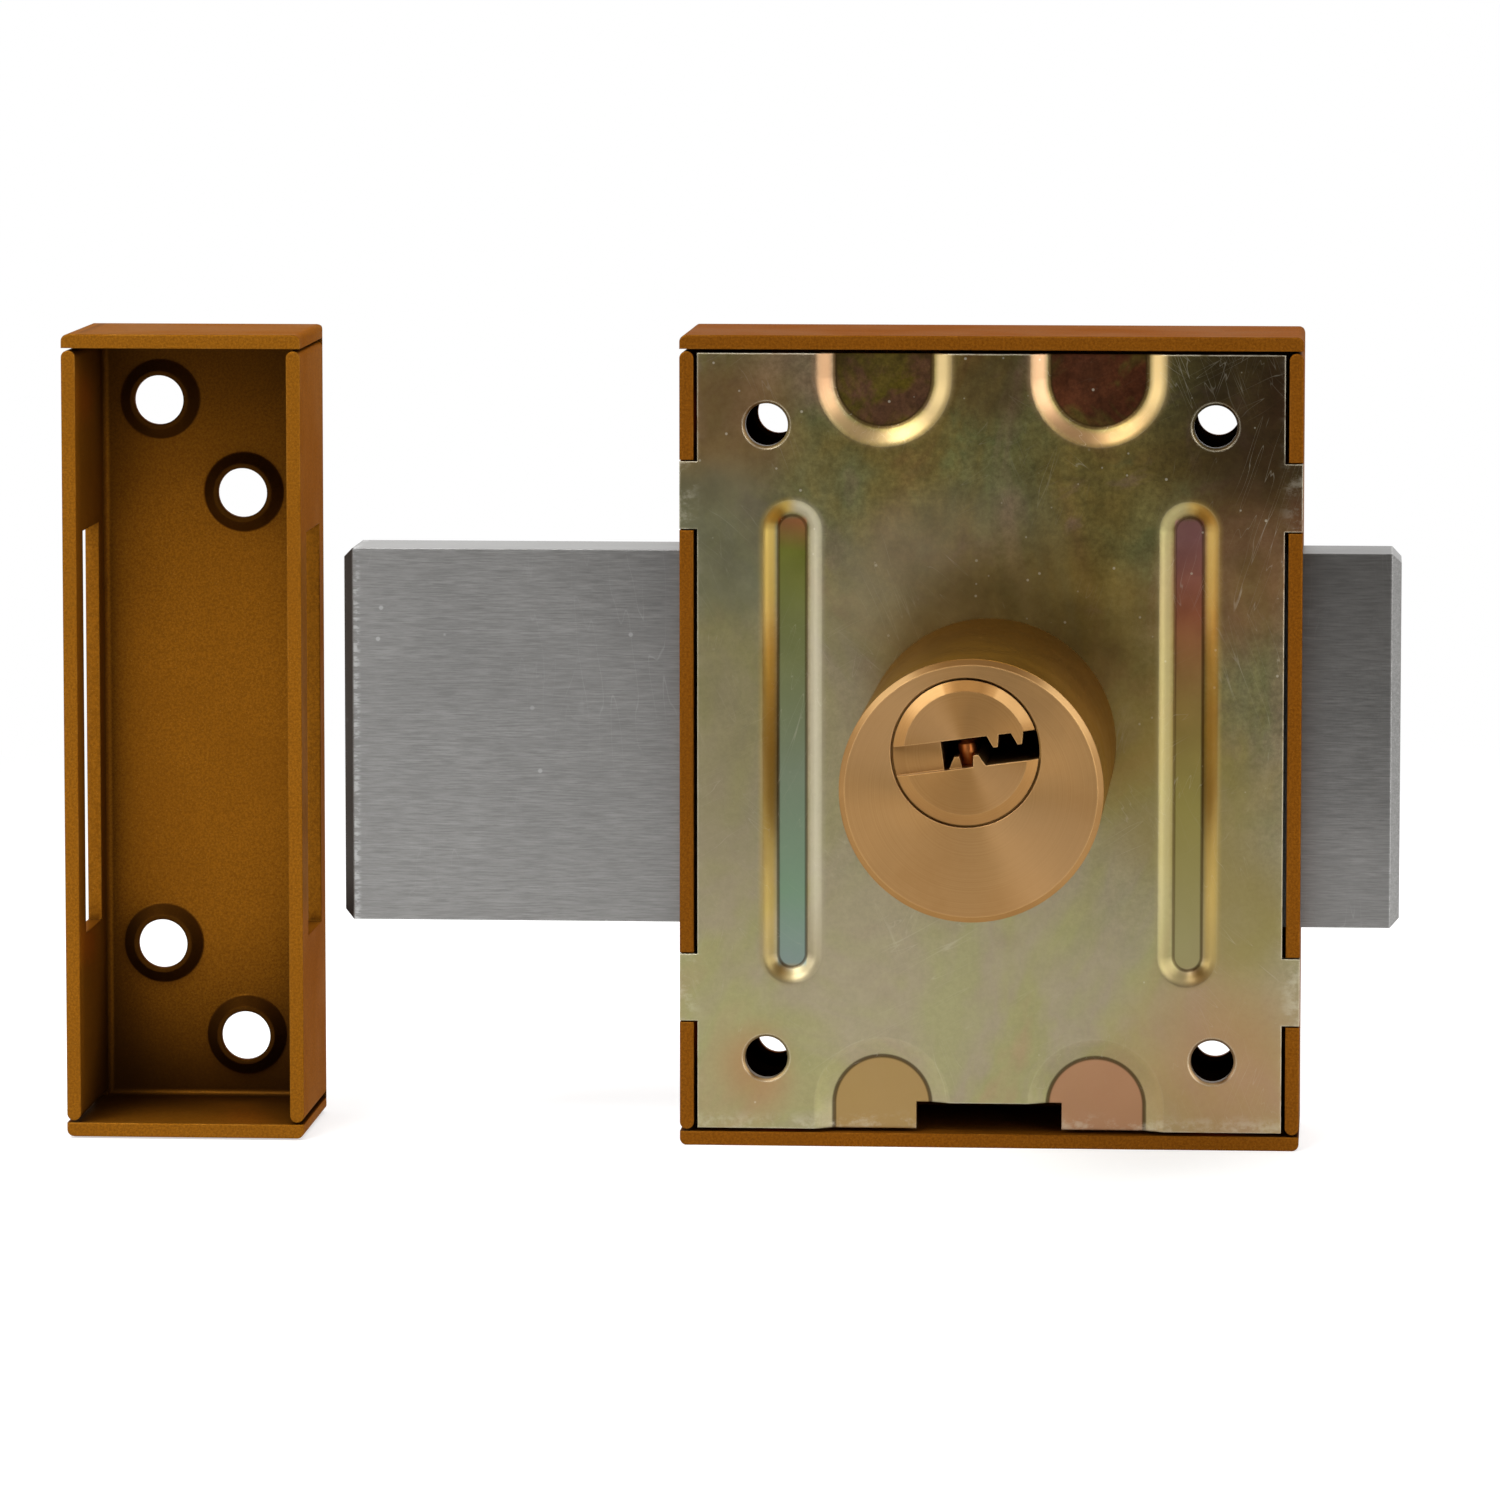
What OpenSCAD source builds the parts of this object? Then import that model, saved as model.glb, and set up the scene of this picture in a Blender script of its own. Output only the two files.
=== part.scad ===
// Rim box lock with a through bolt, a long key cylinder and its keep.
// X runs along the bolt, Z is up, and the key side faces -Y.
// The origin is the centre of the fixing hole pattern, on the back plate's door face.

/* [Case] */
// Width of the folded steel case
case_w = 80; // [74:0.5:100]
// Height of the folded steel case
case_h = 105; // [96:0.5:130]
// Depth of the case from the door face to its front
case_depth = 27; // [26:0.5:36]
// Thickness of the folded sheet of the case and of the keep
sheet = 1.8; // [1.2:0.1:2.2]
// Outside radius of the folds
bend_r = 2.6; // [2.4:0.1:5]
// Gap between two folded walls at a corner
seam = 0.3; // [0.1:0.05:0.6]

/* [Back plate] */
// Thickness of the back plate
plate_t = 1.8; // [1.2:0.1:2.4]
// Gap between the back plate and the case walls
plate_gap = 0.5; // [0.3:0.05:0.8]
// Height of the tabs that key the plate into the side walls
tab_h = 8.7; // [5:0.1:14]
// Height of the tabs above and below the middle
tab_z = 31.9; // [27:0.1:38]
// Clearance between a tab and its wall notch
tab_clear = 0.2; // [0.1:0.05:0.4]
// Depth of the pressed grooves and lands
press_depth = 1.3; // [0.8:0.1:1.6]
// Radius that eases the outer edges of the grooves and lands
press_edge = 2.6; // [1:0.1:3]
// Distance of the pressed grooves from the middle
groove_x = 25.5; // [24:0.1:27]
// Half width of a groove's flat floor
groove_floor = 1.8; // [1:0.1:2.4]
// Width of the sloped shoulder beside a groove's floor
groove_shoulder = 1.7; // [1.4:0.1:2.2]
// Half length of a groove between the centres of its round ends
groove_half = 27.5; // [18:0.5:30]
// Distance of the pressed lands from the middle
land_x = 13.8; // [12.5:0.1:15]
// Radius of a land's flat floor
land_floor = 6.2; // [5:0.1:7]
// Width of the sloped shoulder round a land's floor
land_shoulder = 2.5; // [2:0.1:2.8]
// Distance from a land's centre to the plate's edge
land_edge = 3.2; // [2:0.1:4]
// Width of the notch in the plate's lower edge
notch_w = 18.8; // [10:0.2:22]
// Height of the notch in the plate's lower edge
notch_h = 3.5; // [2:0.1:4]

/* [Fixing holes] */
// Distance between the fixing holes along X
fix_w = 57.6; // [54:0.1:60]
// Distance between the fixing holes along Z
fix_h = 82; // [76:0.5:86]
// Diameter of the fixing holes
fix_d = 5.5; // [4.5:0.1:6]
// Width of the eased edge round a hole in the back plate
hole_ease = 0.35; // [0.2:0.05:0.45]
// Width of the countersink round a hole in a front face
sink_w = 2.1; // [1.5:0.1:2.4]
// Height of the dimple pressed inwards by a countersink
dimple_h = 1.5; // [1:0.1:2]
// Width of the lip round a hole on top of a dimple
dimple_lip = 0.6; // [0.4:0.1:0.8]

/* [Bolt] */
// Length of the bolt
bolt_len = 137; // [130:0.5:150]
// Height of the bolt
bolt_h = 48.5; // [44:0.5:52]
// Thickness of the bolt
bolt_t = 12.5; // [10:0.5:13]
// Length of bolt outside the case when it is thrown
bolt_out = 44.3; // [38:0.1:48]
// Chamfer round both ends of the bolt
bolt_chamfer = 1.2; // [0.5:0.1:2]
// Travel of the bolt for one full turn of the key
bolt_throw = 31.4; // [27:0.1:32.5]
// Gap between the bolt and its guides
slide_gap = 0.15; // [0.1:0.05:0.3]
// Gap between the bolt and the windows in the case walls
window_gap = 0.4; // [0.25:0.05:0.8]

/* [Bolt guides] */
// Length of a guide rail
rail_len = 62; // [50:1:70]
// Thickness of a guide rail's upright web
rail_web = 6; // [5:0.5:7]
// Width of a guide rail's foot under the bolt
rail_foot = 7; // [4:0.5:8]
// Diameter of the rivets that hold the guide rails
rivet_d = 4; // [3:0.5:4.5]
// Distance of the rivets from the middle
rivet_x = 24; // [18:0.5:25]
// Gap between the back plate and the bearing bridge
bridge_gap = 2.8; // [2.6:0.1:3.2]
// Thickness of the bearing bridge
bridge_t = 2; // [1.5:0.1:2.4]
// Width of the bridge's waist
bridge_waist = 18; // [16:0.5:24]
// Width of the bridge's ends on the guide rails
bridge_end = 40; // [36:0.5:44]
// Shank diameter of the bridge screws
bridge_screw_d = 3; // [2.5:0.5:3.5]
// Distance of the bridge screws from the middle
bridge_screw_x = 15; // [12.5:0.5:16]

/* [Drive] */
// Number of teeth on the drive pinion
pinion_teeth = 10; // [9:1:12]
// Pressure angle of the teeth
pressure_angle = 25; // [22:0.5:27]
// Backlash between pinion and rack
backlash = 0.24; // [0.12:0.02:0.4]
// Diameter of the shaft's journal in the bridge
bridge_journal_d = 6.8; // [6.4:0.1:7.6]
// Diameter of the shaft's journal in the front bush
bush_journal_d = 8; // [7.6:0.1:9]
// Radial clearance of a turning journal
run_fit = 0.05; // [0.02:0.01:0.09]
// End play of the shaft and of the bolt's drive
end_play = 0.15; // [0.1:0.05:0.3]
// Width of the tail bar that joins plug and shaft
tail_w = 4.8; // [4:0.1:5]
// Thickness of the tail bar
tail_t = 2.2; // [1.6:0.1:2.6]
// Clearance of the tail bar in its sockets
tail_clear = 0.1; // [0.05:0.05:0.2]

/* [Thumb turn] */
// Outside diameter of the front bush
bush_d = 13; // [12:0.1:14]
// Diameter of the bush's rose on the front face
rose_d = 28; // [24:0.5:34]
// Thickness of the rose
rose_t = 2; // [1.5:0.1:3]
// Width across the flats of the bush nut
nut_flats = 15; // [14.5:0.5:16]
// Thickness of the bush nut
nut_t = 3; // [2:0.1:3.2]
// Diameter of the thumb turn's base
turn_base_d = 24; // [20:0.5:28]
// Thickness of the thumb turn's base
turn_base_t = 4; // [3:0.5:6]
// Length of the thumb turn's grip
grip_len = 34; // [28:0.5:44]
// Thickness of the thumb turn's grip
grip_t = 9; // [8:0.5:12]
// Height of the grip above the base
grip_h = 15; // [13:0.5:20]
// Width of the square on the shaft's end
square_w = 5.4; // [4.6:0.1:5.4]
// Diameter of the grub screw in the thumb turn
grub_d = 4; // [3:0.5:4]

/* [Key cylinder] */
// Diameter of the cylinder
cylinder_d = 32.5; // [31:0.5:36]
// Length of the cylinder in front of the back plate
cylinder_len = 54; // [46:0.5:70]
// Diameter of the plug
plug_d = 17.9; // [16.5:0.1:18.5]
// Distance of the plug's axis from the cylinder's axis
plug_offset = 4.8; // [4:0.1:5]
// Angle by which the cylinder is turned in its seat
cylinder_roll = 7.5; // [0:0.5:12]
// Chamfer round the cylinder's front
cylinder_chamfer = 0.7; // [0.3:0.1:1.2]
// Distance that the plug stands out of the cylinder's front
plug_proud = 0.6; // [0.3:0.05:1]
// Width of the bevel round the plug's front
plug_bevel = 1.35; // [0.8:0.05:1.6]
// Gap between plug and cylinder at the mouth of the bore
mouth_gap = 0.3; // [0.25:0.05:0.4]
// Length of the plug's neck and the collar round it
neck_len = 12; // [11:0.5:14]
// Diameter of the plug's neck
neck_d = 11.6; // [9.6:0.1:12.4]
// Depth of the recess behind the collar
rear_recess = 6; // [5.5:0.1:7]
// Shank diameter of the cylinder screws
cylinder_screw_d = 4; // [3:0.5:4.5]
// Distance from a cylinder screw to the cylinder's edge
cylinder_screw_edge = 4; // [3.6:0.1:4.4]

/* [Keyway and pins] */
// Height of the keyway
keyway_h = 3.6; // [3.2:0.1:3.8]
// Distance from the plug's axis to the keyway's closed side
keyway_side = 2.9; // [2.6:0.1:3.4]
// Depth of the shallow groove beside the keyway
face_groove = 1; // [0.5:0.1:1.6]
// Height of the keyway's two lower ridges
ridge_h = 1.4; // [0.8:0.1:1.5]
// Height of the keyway's two upper teeth
ward_h = 1.5; // [0.8:0.1:1.6]
// Number of pin stacks
pin_count = 5; // [3:1:5]
// Distance between pin stacks
pin_pitch = 7; // [6:0.1:7.5]
// Distance from the cylinder's front to the first pin stack
pin_first = 4.6; // [4:0.1:7]
// Diameter of the pins
pin_d = 2.2; // [1.8:0.1:2.4]
// Length of a driver pin
driver_len = 4.4; // [3.6:0.1:4.8]
// Thickness of a chamber cap
cap_t = 1.8; // [1.2:0.1:2.2]
// Wire diameter of a pin spring
spring_wire = 0.3; // [0.24:0.02:0.34]
// Number of curls in a pin spring
spring_curls = 4.5; // [3:0.5:5]

/* [Keep] */
// Width of the keep
keep_w = 31; // [28:0.5:40]
// Height of the keep
keep_h = 104.5; // [98:0.5:125]
// Gap between the thrown bolt's tip and the keep when the set lies side by side
keep_apart = 4.7; // [2:0.1:12]
// Gap between the bolt's faces and the keep's slots
keep_clear = 0.9; // [0.5:0.1:1.6]
// Gap between the bolt's edges and the keep's slots
keep_clear_z = 2.1; // [1:0.1:3]
// Distance of the keep's screw holes from the middle of their pattern
keep_hole_x = 5.5; // [5:0.1:6]
// Shift of the screw holes' pattern from the keep's middle
keep_hole_shift = -0.6; // [-1:0.1:0]
// Height of the inner screw holes from the keep's middle
keep_hole_inner = 30; // [29:0.5:33]
// Height of the outer screw holes from the keep's middle
keep_hole_outer = 42.2; // [40.5:0.5:43]
// Diameter of the keep's screw holes
keep_hole_d = 6.5; // [5:0.1:7]

/* [Hidden] */
$fn = 64;

// Paint, plate and metal colours
paint = [0.55, 0.35, 0.10];
chromate = [0.66, 0.62, 0.42];
steel = [0.58, 0.58, 0.59];
brass = [0.76, 0.58, 0.36];
nickel = [0.75, 0.74, 0.70];
red_brass = [0.80, 0.52, 0.25];

// Small fits
touch = 0.05;
hair = 0.01;
over = 1;

// Layers from the door face to the front
front_in = case_depth - sheet;
bridge_y = plate_t + bridge_gap;
bridge_back = bridge_y + bridge_t;
bolt_y = bridge_back + slide_gap;
bolt_back = bolt_y + bolt_t;
bush_y = bolt_back + 2 * slide_gap;
rose_y = case_depth + rose_t;
washer_t = 0.5;
washer_y = rose_y + touch;
turn_y = washer_y + washer_t + touch;

// Case and plate
plate_w = case_w - 2 * sheet - 2 * plate_gap;
plate_h = case_h - 2 * sheet - 2 * plate_gap;
land_z = plate_h / 2 - land_edge;
wall_round = sheet / 2;

// Bolt
bolt_left = -case_w / 2 - bolt_out;
bolt_right = bolt_left + bolt_len;
rail_in = bolt_h / 2 + slide_gap;
rail_mid = rail_in + rail_web / 2;
rivet_deep = 9;
bridge_screw_deep = 7;

// Key cylinder: the plug's axis is the drive axis, and the cylinder stands in the middle of the plate
drive_x = -plug_offset * sin(cylinder_roll);
drive_z = plug_offset * cos(cylinder_roll);
cylinder_front = -cylinder_len;
plug_front = cylinder_front - plug_proud;
mouth_deep = 1;
cylinder_screw_deep = 9;
cylinder_r = cylinder_d / 2;
plug_r = plug_d / 2;
plug_bore_r = plug_r + run_fit;
pin_r = pin_d / 2;
chamber_r = pin_r + run_fit;
shear = plug_r + run_fit / 2;
pin_end = sqrt(plug_r * plug_r - pin_r * pin_r);
cap_sink = 0.2;
cap_floor = cylinder_r + plug_offset - cap_t - cap_sink;
pins_y = [for (i = [0 : pin_count - 1]) cylinder_front + pin_first + i * pin_pitch];
pin_tips = [1.2, -0.1, 0.3, -0.3, 0.1];
pin_tip_h = 0.5;
pin_nose = 0.6;
cylinder_screw_ring = cylinder_r - cylinder_screw_edge;
cylinder_screw_turns = [-40, -140];
cylinder_screw_spots = [for (a = cylinder_screw_turns) cylinder_screw_ring * [cos(a), sin(a)]];
recess_w = 3.2;
clip_t = 1;
clip_w = 1.8;
clip_depth = 0.7;
clip_gap = 0.4;
end_wall = 2;
tail_front = -neck_len + end_wall;
tail_reach = 1.5;
tail_back = bolt_y + tail_reach;
tail_pin_d = 2;
tail_pin_y = -2.3;

// Pinion and rack: one turn of the pinion is one throw
gear_module = bolt_throw / (PI * pinion_teeth);
pitch_r = bolt_throw / (2 * PI);
base_r = pitch_r * cos(pressure_angle);
tip_r = pitch_r + gear_module;
rack_tip = 0.8 * gear_module;
rack_root = 1.25 * gear_module;
root_r = pitch_r - rack_tip - 0.25 * gear_module;
flank_steps = 6;
tooth_room = 0.5;
backlash_turn = backlash / (4 * pitch_r) * 180 / PI;
rack_z = drive_z - pitch_r;
shaft_stub = 1.2;

// Rose, washer and thumb turn
rose_edge = 0.4;
washer_edge = 3;
square_cover = 6;
square_len = turn_base_t + grip_h - square_cover;
turn_ease = 0.8;
crown_r = 0.75 * grip_len;

// Keyway: ends and tops of its ridges below and teeth above, from the plug's axis
ridge_in = 0.7;
ridge_top_in = 0.9;
ridge_top_out = 1.5;
ridge_out = 2.3;
ward_spots = [2.8, 5.8];
ward_foot = 1.5;
ward_tip_start = 0.65;
ward_tip_end = 1.2;

// Pin springs, between drivers and caps
spring_top = shear + run_fit + driver_len + touch;
spring_len = cap_floor - touch - spring_top;
spring_r = chamber_r - spring_wire / 2 - touch;
spring_sides = 6;
curl_rings = 8;
spring_rings = floor(spring_curls * curl_rings);
spring_rise = (spring_len - spring_wire) / spring_rings;

// Keep
keep_right = bolt_left - keep_apart;
keep_x = keep_right - keep_w / 2;
keep_hole_left = keep_hole_shift - keep_hole_x;
keep_hole_right = keep_hole_shift + keep_hole_x;
keep_holes = [
    [keep_hole_left, keep_hole_outer], [keep_hole_right, keep_hole_inner],
    [keep_hole_left, -keep_hole_inner], [keep_hole_right, -keep_hole_outer]
];

fix_holes = [for (x = [-1, 1], z = [-1, 1]) [x * fix_w / 2, z * fix_h / 2]];

// A flat shape drawn in X and Z, as thick as from y0 to y1
module slab(y0, y1) {
    translate([0, y1, 0])
        rotate([90, 0, 0])
            linear_extrude(y1 - y0)
                children();
}

// A round bar along Y
module rod(r, y0, y1) {
    slab(y0, y1) circle(r);
}

// A cone along Y
module taper(r0, r1, y0, y1) {
    translate([0, y0, 0])
        rotate([-90, 0, 0])
            cylinder(h = y1 - y0, r1 = r0, r2 = r1);
}

// Copies at places given in X and Z
module spots(list) {
    for (p = list) translate([p[0], 0, p[1]]) children();
}

// The drive axis, and the same axis with the cylinder's roll
module at_drive() {
    translate([drive_x, 0, drive_z]) children();
}

module at_plug() {
    at_drive() rotate([0, -cylinder_roll, 0]) children();
}

// A rectangle whose two far corners are folds
module fold_profile(width, depth, r) {
    translate([-width / 2, 0]) square([width, depth - r]);
    translate([r - width / 2, 0]) square([width - 2 * r, depth]);
    for (s = [-1, 1]) translate([s * (width / 2 - r), depth - r]) circle(r);
}

// A block with folded front edges
module fold_block(width, height, depth, r) {
    intersection() {
        linear_extrude(height, center = true) fold_profile(width, depth, r);
        rotate([0, -90, 0])
            linear_extrude(width, center = true)
                fold_profile(height, depth, r);
    }
}

// A rectangle with four round corners
module round_rect(width, height, r) {
    square([width - 2 * r, height], center = true);
    square([width, height - 2 * r], center = true);
    for (x = [-1, 1], z = [-1, 1]) translate([x * (width / 2 - r), z * (height / 2 - r)]) circle(r);
}

// The seam where a side wall ends under the top or bottom wall, with the side wall's end round
module seam_cuts(width, height, depth) {
    for (x = [-1, 1], z = [-1, 1])
        slab(-over, depth - bend_r)
            scale([x, z])
                translate([width / 2 - sheet, height / 2 - sheet - seam - wall_round])
                    difference() {
                        square([sheet + over, seam + wall_round]);
                        translate([wall_round, 0]) circle(wall_round);
                    }
}

// An open box folded from one sheet
module folded_box(width, height, depth) {
    difference() {
        intersection() {
            fold_block(width, height, depth, bend_r);
            slab(-over, depth + over) round_rect(width, height, wall_round);
        }
        translate([0, -over, 0])
            fold_block(width - 2 * sheet, height - 2 * sheet, depth - sheet + over, bend_r - sheet);
        seam_cuts(width, height, depth);
    }
}

// The dimple that a countersink pushes in at a front face, and the countersunk hole through it
module dimple(hole_d) {
    taper(hole_d / 2 + dimple_lip, hole_d / 2 + sink_w, front_in - dimple_h, front_in + touch);
}

module sunk_hole(hole_d) {
    rod(hole_d / 2, front_in - dimple_h - over, case_depth + over);
    taper(hole_d / 2, hole_d / 2 + sink_w, case_depth - sink_w, case_depth);
}

module case_shell() {
    color(paint)
        difference() {
            union() {
                folded_box(case_w, case_h, case_depth);
                spots(fix_holes) dimple(fix_d);
            }
            spots(fix_holes) sunk_hole(fix_d);
            at_drive() rod(bush_d / 2 + touch, front_in - over, case_depth + over);
            spots(rivet_spots()) rod(rivet_d / 2 + touch / 2, front_in - over, case_depth + over);
            for (z = [-1, 1]) tab_notch(z * tab_z);
            bolt_window(case_w + 2 * over, window_gap, window_gap);
        }
}

// Notch for a plate tab, across both side walls
module tab_notch(z) {
    height = tab_h + 2 * tab_clear;
    translate([-case_w / 2 - over, -over, z - height / 2])
        cube([case_w + 2 * over, plate_t + touch + over, height]);
}

// The bolt's cross section with a gap at its faces and at its edges, as long as asked
module bolt_window(length, gap, gap_z) {
    translate([-length / 2, bolt_y - gap, -bolt_h / 2 - gap_z])
        cube([length, bolt_t + 2 * gap, bolt_h + 2 * gap_z]);
}

// Half of a pressed hollow: a flat floor, a sloped shoulder and an eased edge at the plate's face
module press_half(floor_w, shoulder) {
    edge = floor_w + shoulder;
    slope = atan2(press_depth, shoulder);
    ease = press_edge * tan(slope / 2);
    difference() {
        polygon([
            [0, 0], [edge + ease, 0], [edge - ease * cos(slope), ease * sin(slope)],
            [floor_w, press_depth], [0, press_depth]
        ]);
        translate([edge + ease, press_edge]) circle(press_edge + hair, $fn = 128);
    }
}

module press_round(floor_w, shoulder) {
    rotate([-90, 0, 0]) rotate_extrude() press_half(floor_w, shoulder);
}

module press_run(floor_w, shoulder, z0, z1) {
    translate([0, 0, z0])
        linear_extrude(z1 - z0) {
            press_half(floor_w, shoulder);
            mirror([1, 0]) press_half(floor_w, shoulder);
        }
}

module grooves() {
    for (x = [-1, 1])
        translate([x * groove_x, 0, 0]) {
            press_run(groove_floor, groove_shoulder, -groove_half, groove_half);
            for (z = [-1, 1])
                translate([0, 0, z * groove_half]) press_round(groove_floor, groove_shoulder);
        }
}

module lands() {
    for (x = [-1, 1], z = [0, 1])
        mirror([0, 0, z])
            translate([x * land_x, 0, land_z]) {
                press_round(land_floor, land_shoulder);
                press_run(land_floor, land_shoulder, 0, land_edge + over);
            }
}

module pressings() {
    grooves();
    lands();
}

module plate_outline() {
    square([plate_w, plate_h], center = true);
    for (z = [-1, 1]) translate([0, z * tab_z]) square([case_w, tab_h], center = true);
}

module back_plate() {
    color(chromate)
        difference() {
            union() {
                slab(0, plate_t) plate_outline();
                intersection() {
                    translate([0, plate_t - touch, 0]) pressings();
                    slab(0, bridge_y) square([plate_w, plate_h], center = true);
                }
            }
            translate([0, -touch, 0]) pressings();
            translate([-notch_w / 2, -over, -plate_h / 2 - over])
                cube([notch_w, bridge_y + over, notch_h + over]);
            spots(fix_holes) {
                rod(fix_d / 2, -over, plate_t + over);
                taper(fix_d / 2 + hole_ease, fix_d / 2, 0, hole_ease);
            }
            at_drive() rod(neck_d / 2, -over, plate_t + over);
            at_cylinder()
                spots(cylinder_screw_spots) rod(cylinder_screw_d / 2 + 2 * touch, -over, plate_t + over);
        }
}

// Outline of the bolt's long sides or edges, with chamfered ends
module chamfered_bar(width, c) {
    polygon([
        [bolt_left + c, -width / 2], [bolt_right - c, -width / 2],
        [bolt_right, c - width / 2], [bolt_right, width / 2 - c],
        [bolt_right - c, width / 2], [bolt_left + c, width / 2],
        [bolt_left, width / 2 - c], [bolt_left, c - width / 2]
    ]);
}

// Width of a rack tooth at a height above the pitch line
function rack_width(h) = PI * gear_module / 2 - backlash / 2 - 2 * h * tan(pressure_angle);

module rack_tooth() {
    foot = rack_width(-rack_root) / 2;
    tip = rack_width(rack_tip) / 2;
    polygon([[-foot, -rack_root], [foot, -rack_root], [tip, rack_tip], [-tip, rack_tip]]);
}

// The window in the bolt that the pinion runs in, with the rack as its lower edge
module drive_window() {
    left = -bolt_throw - tip_r - tooth_room;
    right = tip_r + tooth_room;
    step = PI * gear_module;
    difference() {
        translate([left, rack_z - rack_root])
            square([right - left, rack_root + pitch_r + tip_r + tooth_room]);
        for (i = [ceil(left / step) : floor(right / step) - 1])
            translate([(i + 0.5) * step, rack_z]) rack_tooth();
    }
}

module bolt() {
    color(steel)
        difference() {
            intersection() {
                slab(bolt_y, bolt_back) chamfered_bar(bolt_h, bolt_chamfer);
                translate([0, bolt_y + bolt_t / 2, 0])
                    linear_extrude(bolt_h + over, center = true)
                        chamfered_bar(bolt_t, bolt_chamfer);
            }
            translate([drive_x, 0, 0]) slab(bolt_y - over, bolt_back + over) drive_window();
        }
}

// Rivets through the front face into the guide rails
function rivet_spots() = [for (x = [-1, 1], z = [-1, 1]) [x * rivet_x, z * rail_mid]];

// Screws through the bearing bridge into the guide rails
function bridge_spots() = [for (x = [-1, 1], z = [-1, 1]) [x * bridge_screw_x, z * rail_mid]];

// The upper rail: a web beside the bolt's edge and a foot under its far face
module guide_rail() {
    foot_edge = max(rail_in - rail_foot, drive_z + nut_flats / 2 / cos(30) + over);
    difference() {
        translate([-rail_len / 2, 0, 0]) {
            translate([0, bridge_back, rail_in]) cube([rail_len, front_in - bridge_back, rail_web]);
            translate([0, bolt_back + slide_gap, foot_edge])
                cube([rail_len, front_in - bolt_back - slide_gap, rail_in + touch - foot_edge]);
        }
        for (x = [-1, 1]) {
            translate([x * rivet_x, 0, rail_mid])
                rod(rivet_d / 2 + touch / 2, front_in - rivet_deep - touch, case_depth);
            translate([x * bridge_screw_x, 0, rail_mid])
                rod(bridge_screw_d / 2 + touch / 2, 0, bridge_back + bridge_screw_deep + touch);
        }
    }
}

module bolt_guide_upper() {
    color(steel) guide_rail();
}

module bolt_guide_lower() {
    color(steel) mirror([0, 0, 1]) guide_rail();
}

module guide_rivets() {
    color(paint) spots(rivet_spots()) rod(rivet_d / 2, front_in - rivet_deep, case_depth);
}

// The bridge carries the shaft's rear journal and closes the bolt's channel
module bearing_bridge() {
    bridge_h = 2 * (rail_in + rail_web);
    color(steel)
        difference() {
            slab(bridge_y, bridge_back) {
                round_rect(bridge_waist, bridge_h, over);
                for (z = [-1, 1]) translate([0, z * rail_mid]) round_rect(bridge_end, rail_web, over);
            }
            at_drive() rod(bridge_journal_d / 2 + run_fit, 0, bolt_y);
            spots(bridge_spots()) rod(bridge_screw_d / 2 + 2 * touch, 0, bolt_y);
        }
}

// A cheese head screw whose head seats at y0 and whose shank runs towards y1
module slotted_screw(shank_d, y0, y1) {
    way = sign(y1 - y0);
    head_r = 0.9 * shank_d;
    head_h = 0.55 * shank_d;
    slot_w = 0.25 * shank_d;
    difference() {
        union() {
            rod(shank_d / 2, min(y0, y1), max(y0, y1));
            rod(head_r, min(y0, y0 - way * head_h), max(y0, y0 - way * head_h));
        }
        translate([0, y0 - way * head_h, 0]) cube([2 * head_r + over, head_h, slot_w], center = true);
    }
}

module bridge_screws() {
    color(nickel)
        spots(bridge_spots()) slotted_screw(bridge_screw_d, bridge_y, bridge_back + bridge_screw_deep);
}

// Involute teeth of the drive pinion
function involute(a) = tan(a) * 180 / PI - a;
function half_tooth(r) =
    90 / pinion_teeth - backlash_turn + involute(pressure_angle) - involute(acos(min(1, base_r / r)));
function polar(r, a) = [r * cos(a), r * sin(a)];
flank_start = max(base_r, root_r);
flank_radii = [for (i = [0 : flank_steps]) flank_start + (tip_r - flank_start) * i / flank_steps];
tooth_side = concat([[root_r, half_tooth(flank_start)]], [for (r = flank_radii) [r, half_tooth(r)]]);

function tooth_points(centre) = concat(
    [for (p = tooth_side) polar(p[0], centre - p[1])],
    [for (i = [len(tooth_side) - 1 : -1 : 0]) polar(tooth_side[i][0], centre + tooth_side[i][1])]
);

module pinion_outline() {
    polygon([for (k = [0 : pinion_teeth - 1]) each tooth_points(-90 + k * 360 / pinion_teeth)]);
}

// Pinion, journals, tail socket and knob square, cut from one bar
module drive_pinion() {
    gear_y = bridge_back + end_play;
    gear_back = bush_y - end_play;
    shaft_y = bridge_y - shaft_stub;
    socket_w = tail_w + 2 * tail_clear;
    socket_t = tail_t + 2 * tail_clear;
    color(nickel)
        at_drive()
            difference() {
                union() {
                    slab(gear_y, gear_back) pinion_outline();
                    rod(bridge_journal_d / 2, shaft_y, gear_y);
                    rod(bush_journal_d / 2, gear_back, turn_y);
                    slab(turn_y, turn_y + square_len) square(square_w, center = true);
                }
                rotate([0, -cylinder_roll, 0])
                    slab(shaft_y - over, tail_back + tail_clear) square([socket_t, socket_w], center = true);
            }
}

// Threaded bush through the front face, with the rose as its flange
module front_bush() {
    color(brass)
        at_drive()
            difference() {
                union() {
                    rod(bush_d / 2, bush_y, case_depth);
                    rod(rose_d / 2, case_depth, rose_y - rose_edge);
                    taper(rose_d / 2, rose_d / 2 - rose_edge, rose_y - rose_edge, rose_y);
                }
                rod(bush_journal_d / 2 + run_fit, bush_y - over, rose_y + over);
            }
}

module bush_nut() {
    color(nickel)
        at_drive()
            difference() {
                slab(front_in - nut_t, front_in) circle(nut_flats / 2 / cos(30), $fn = 6);
                rod(bush_d / 2 + touch, 0, case_depth);
            }
}

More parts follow.
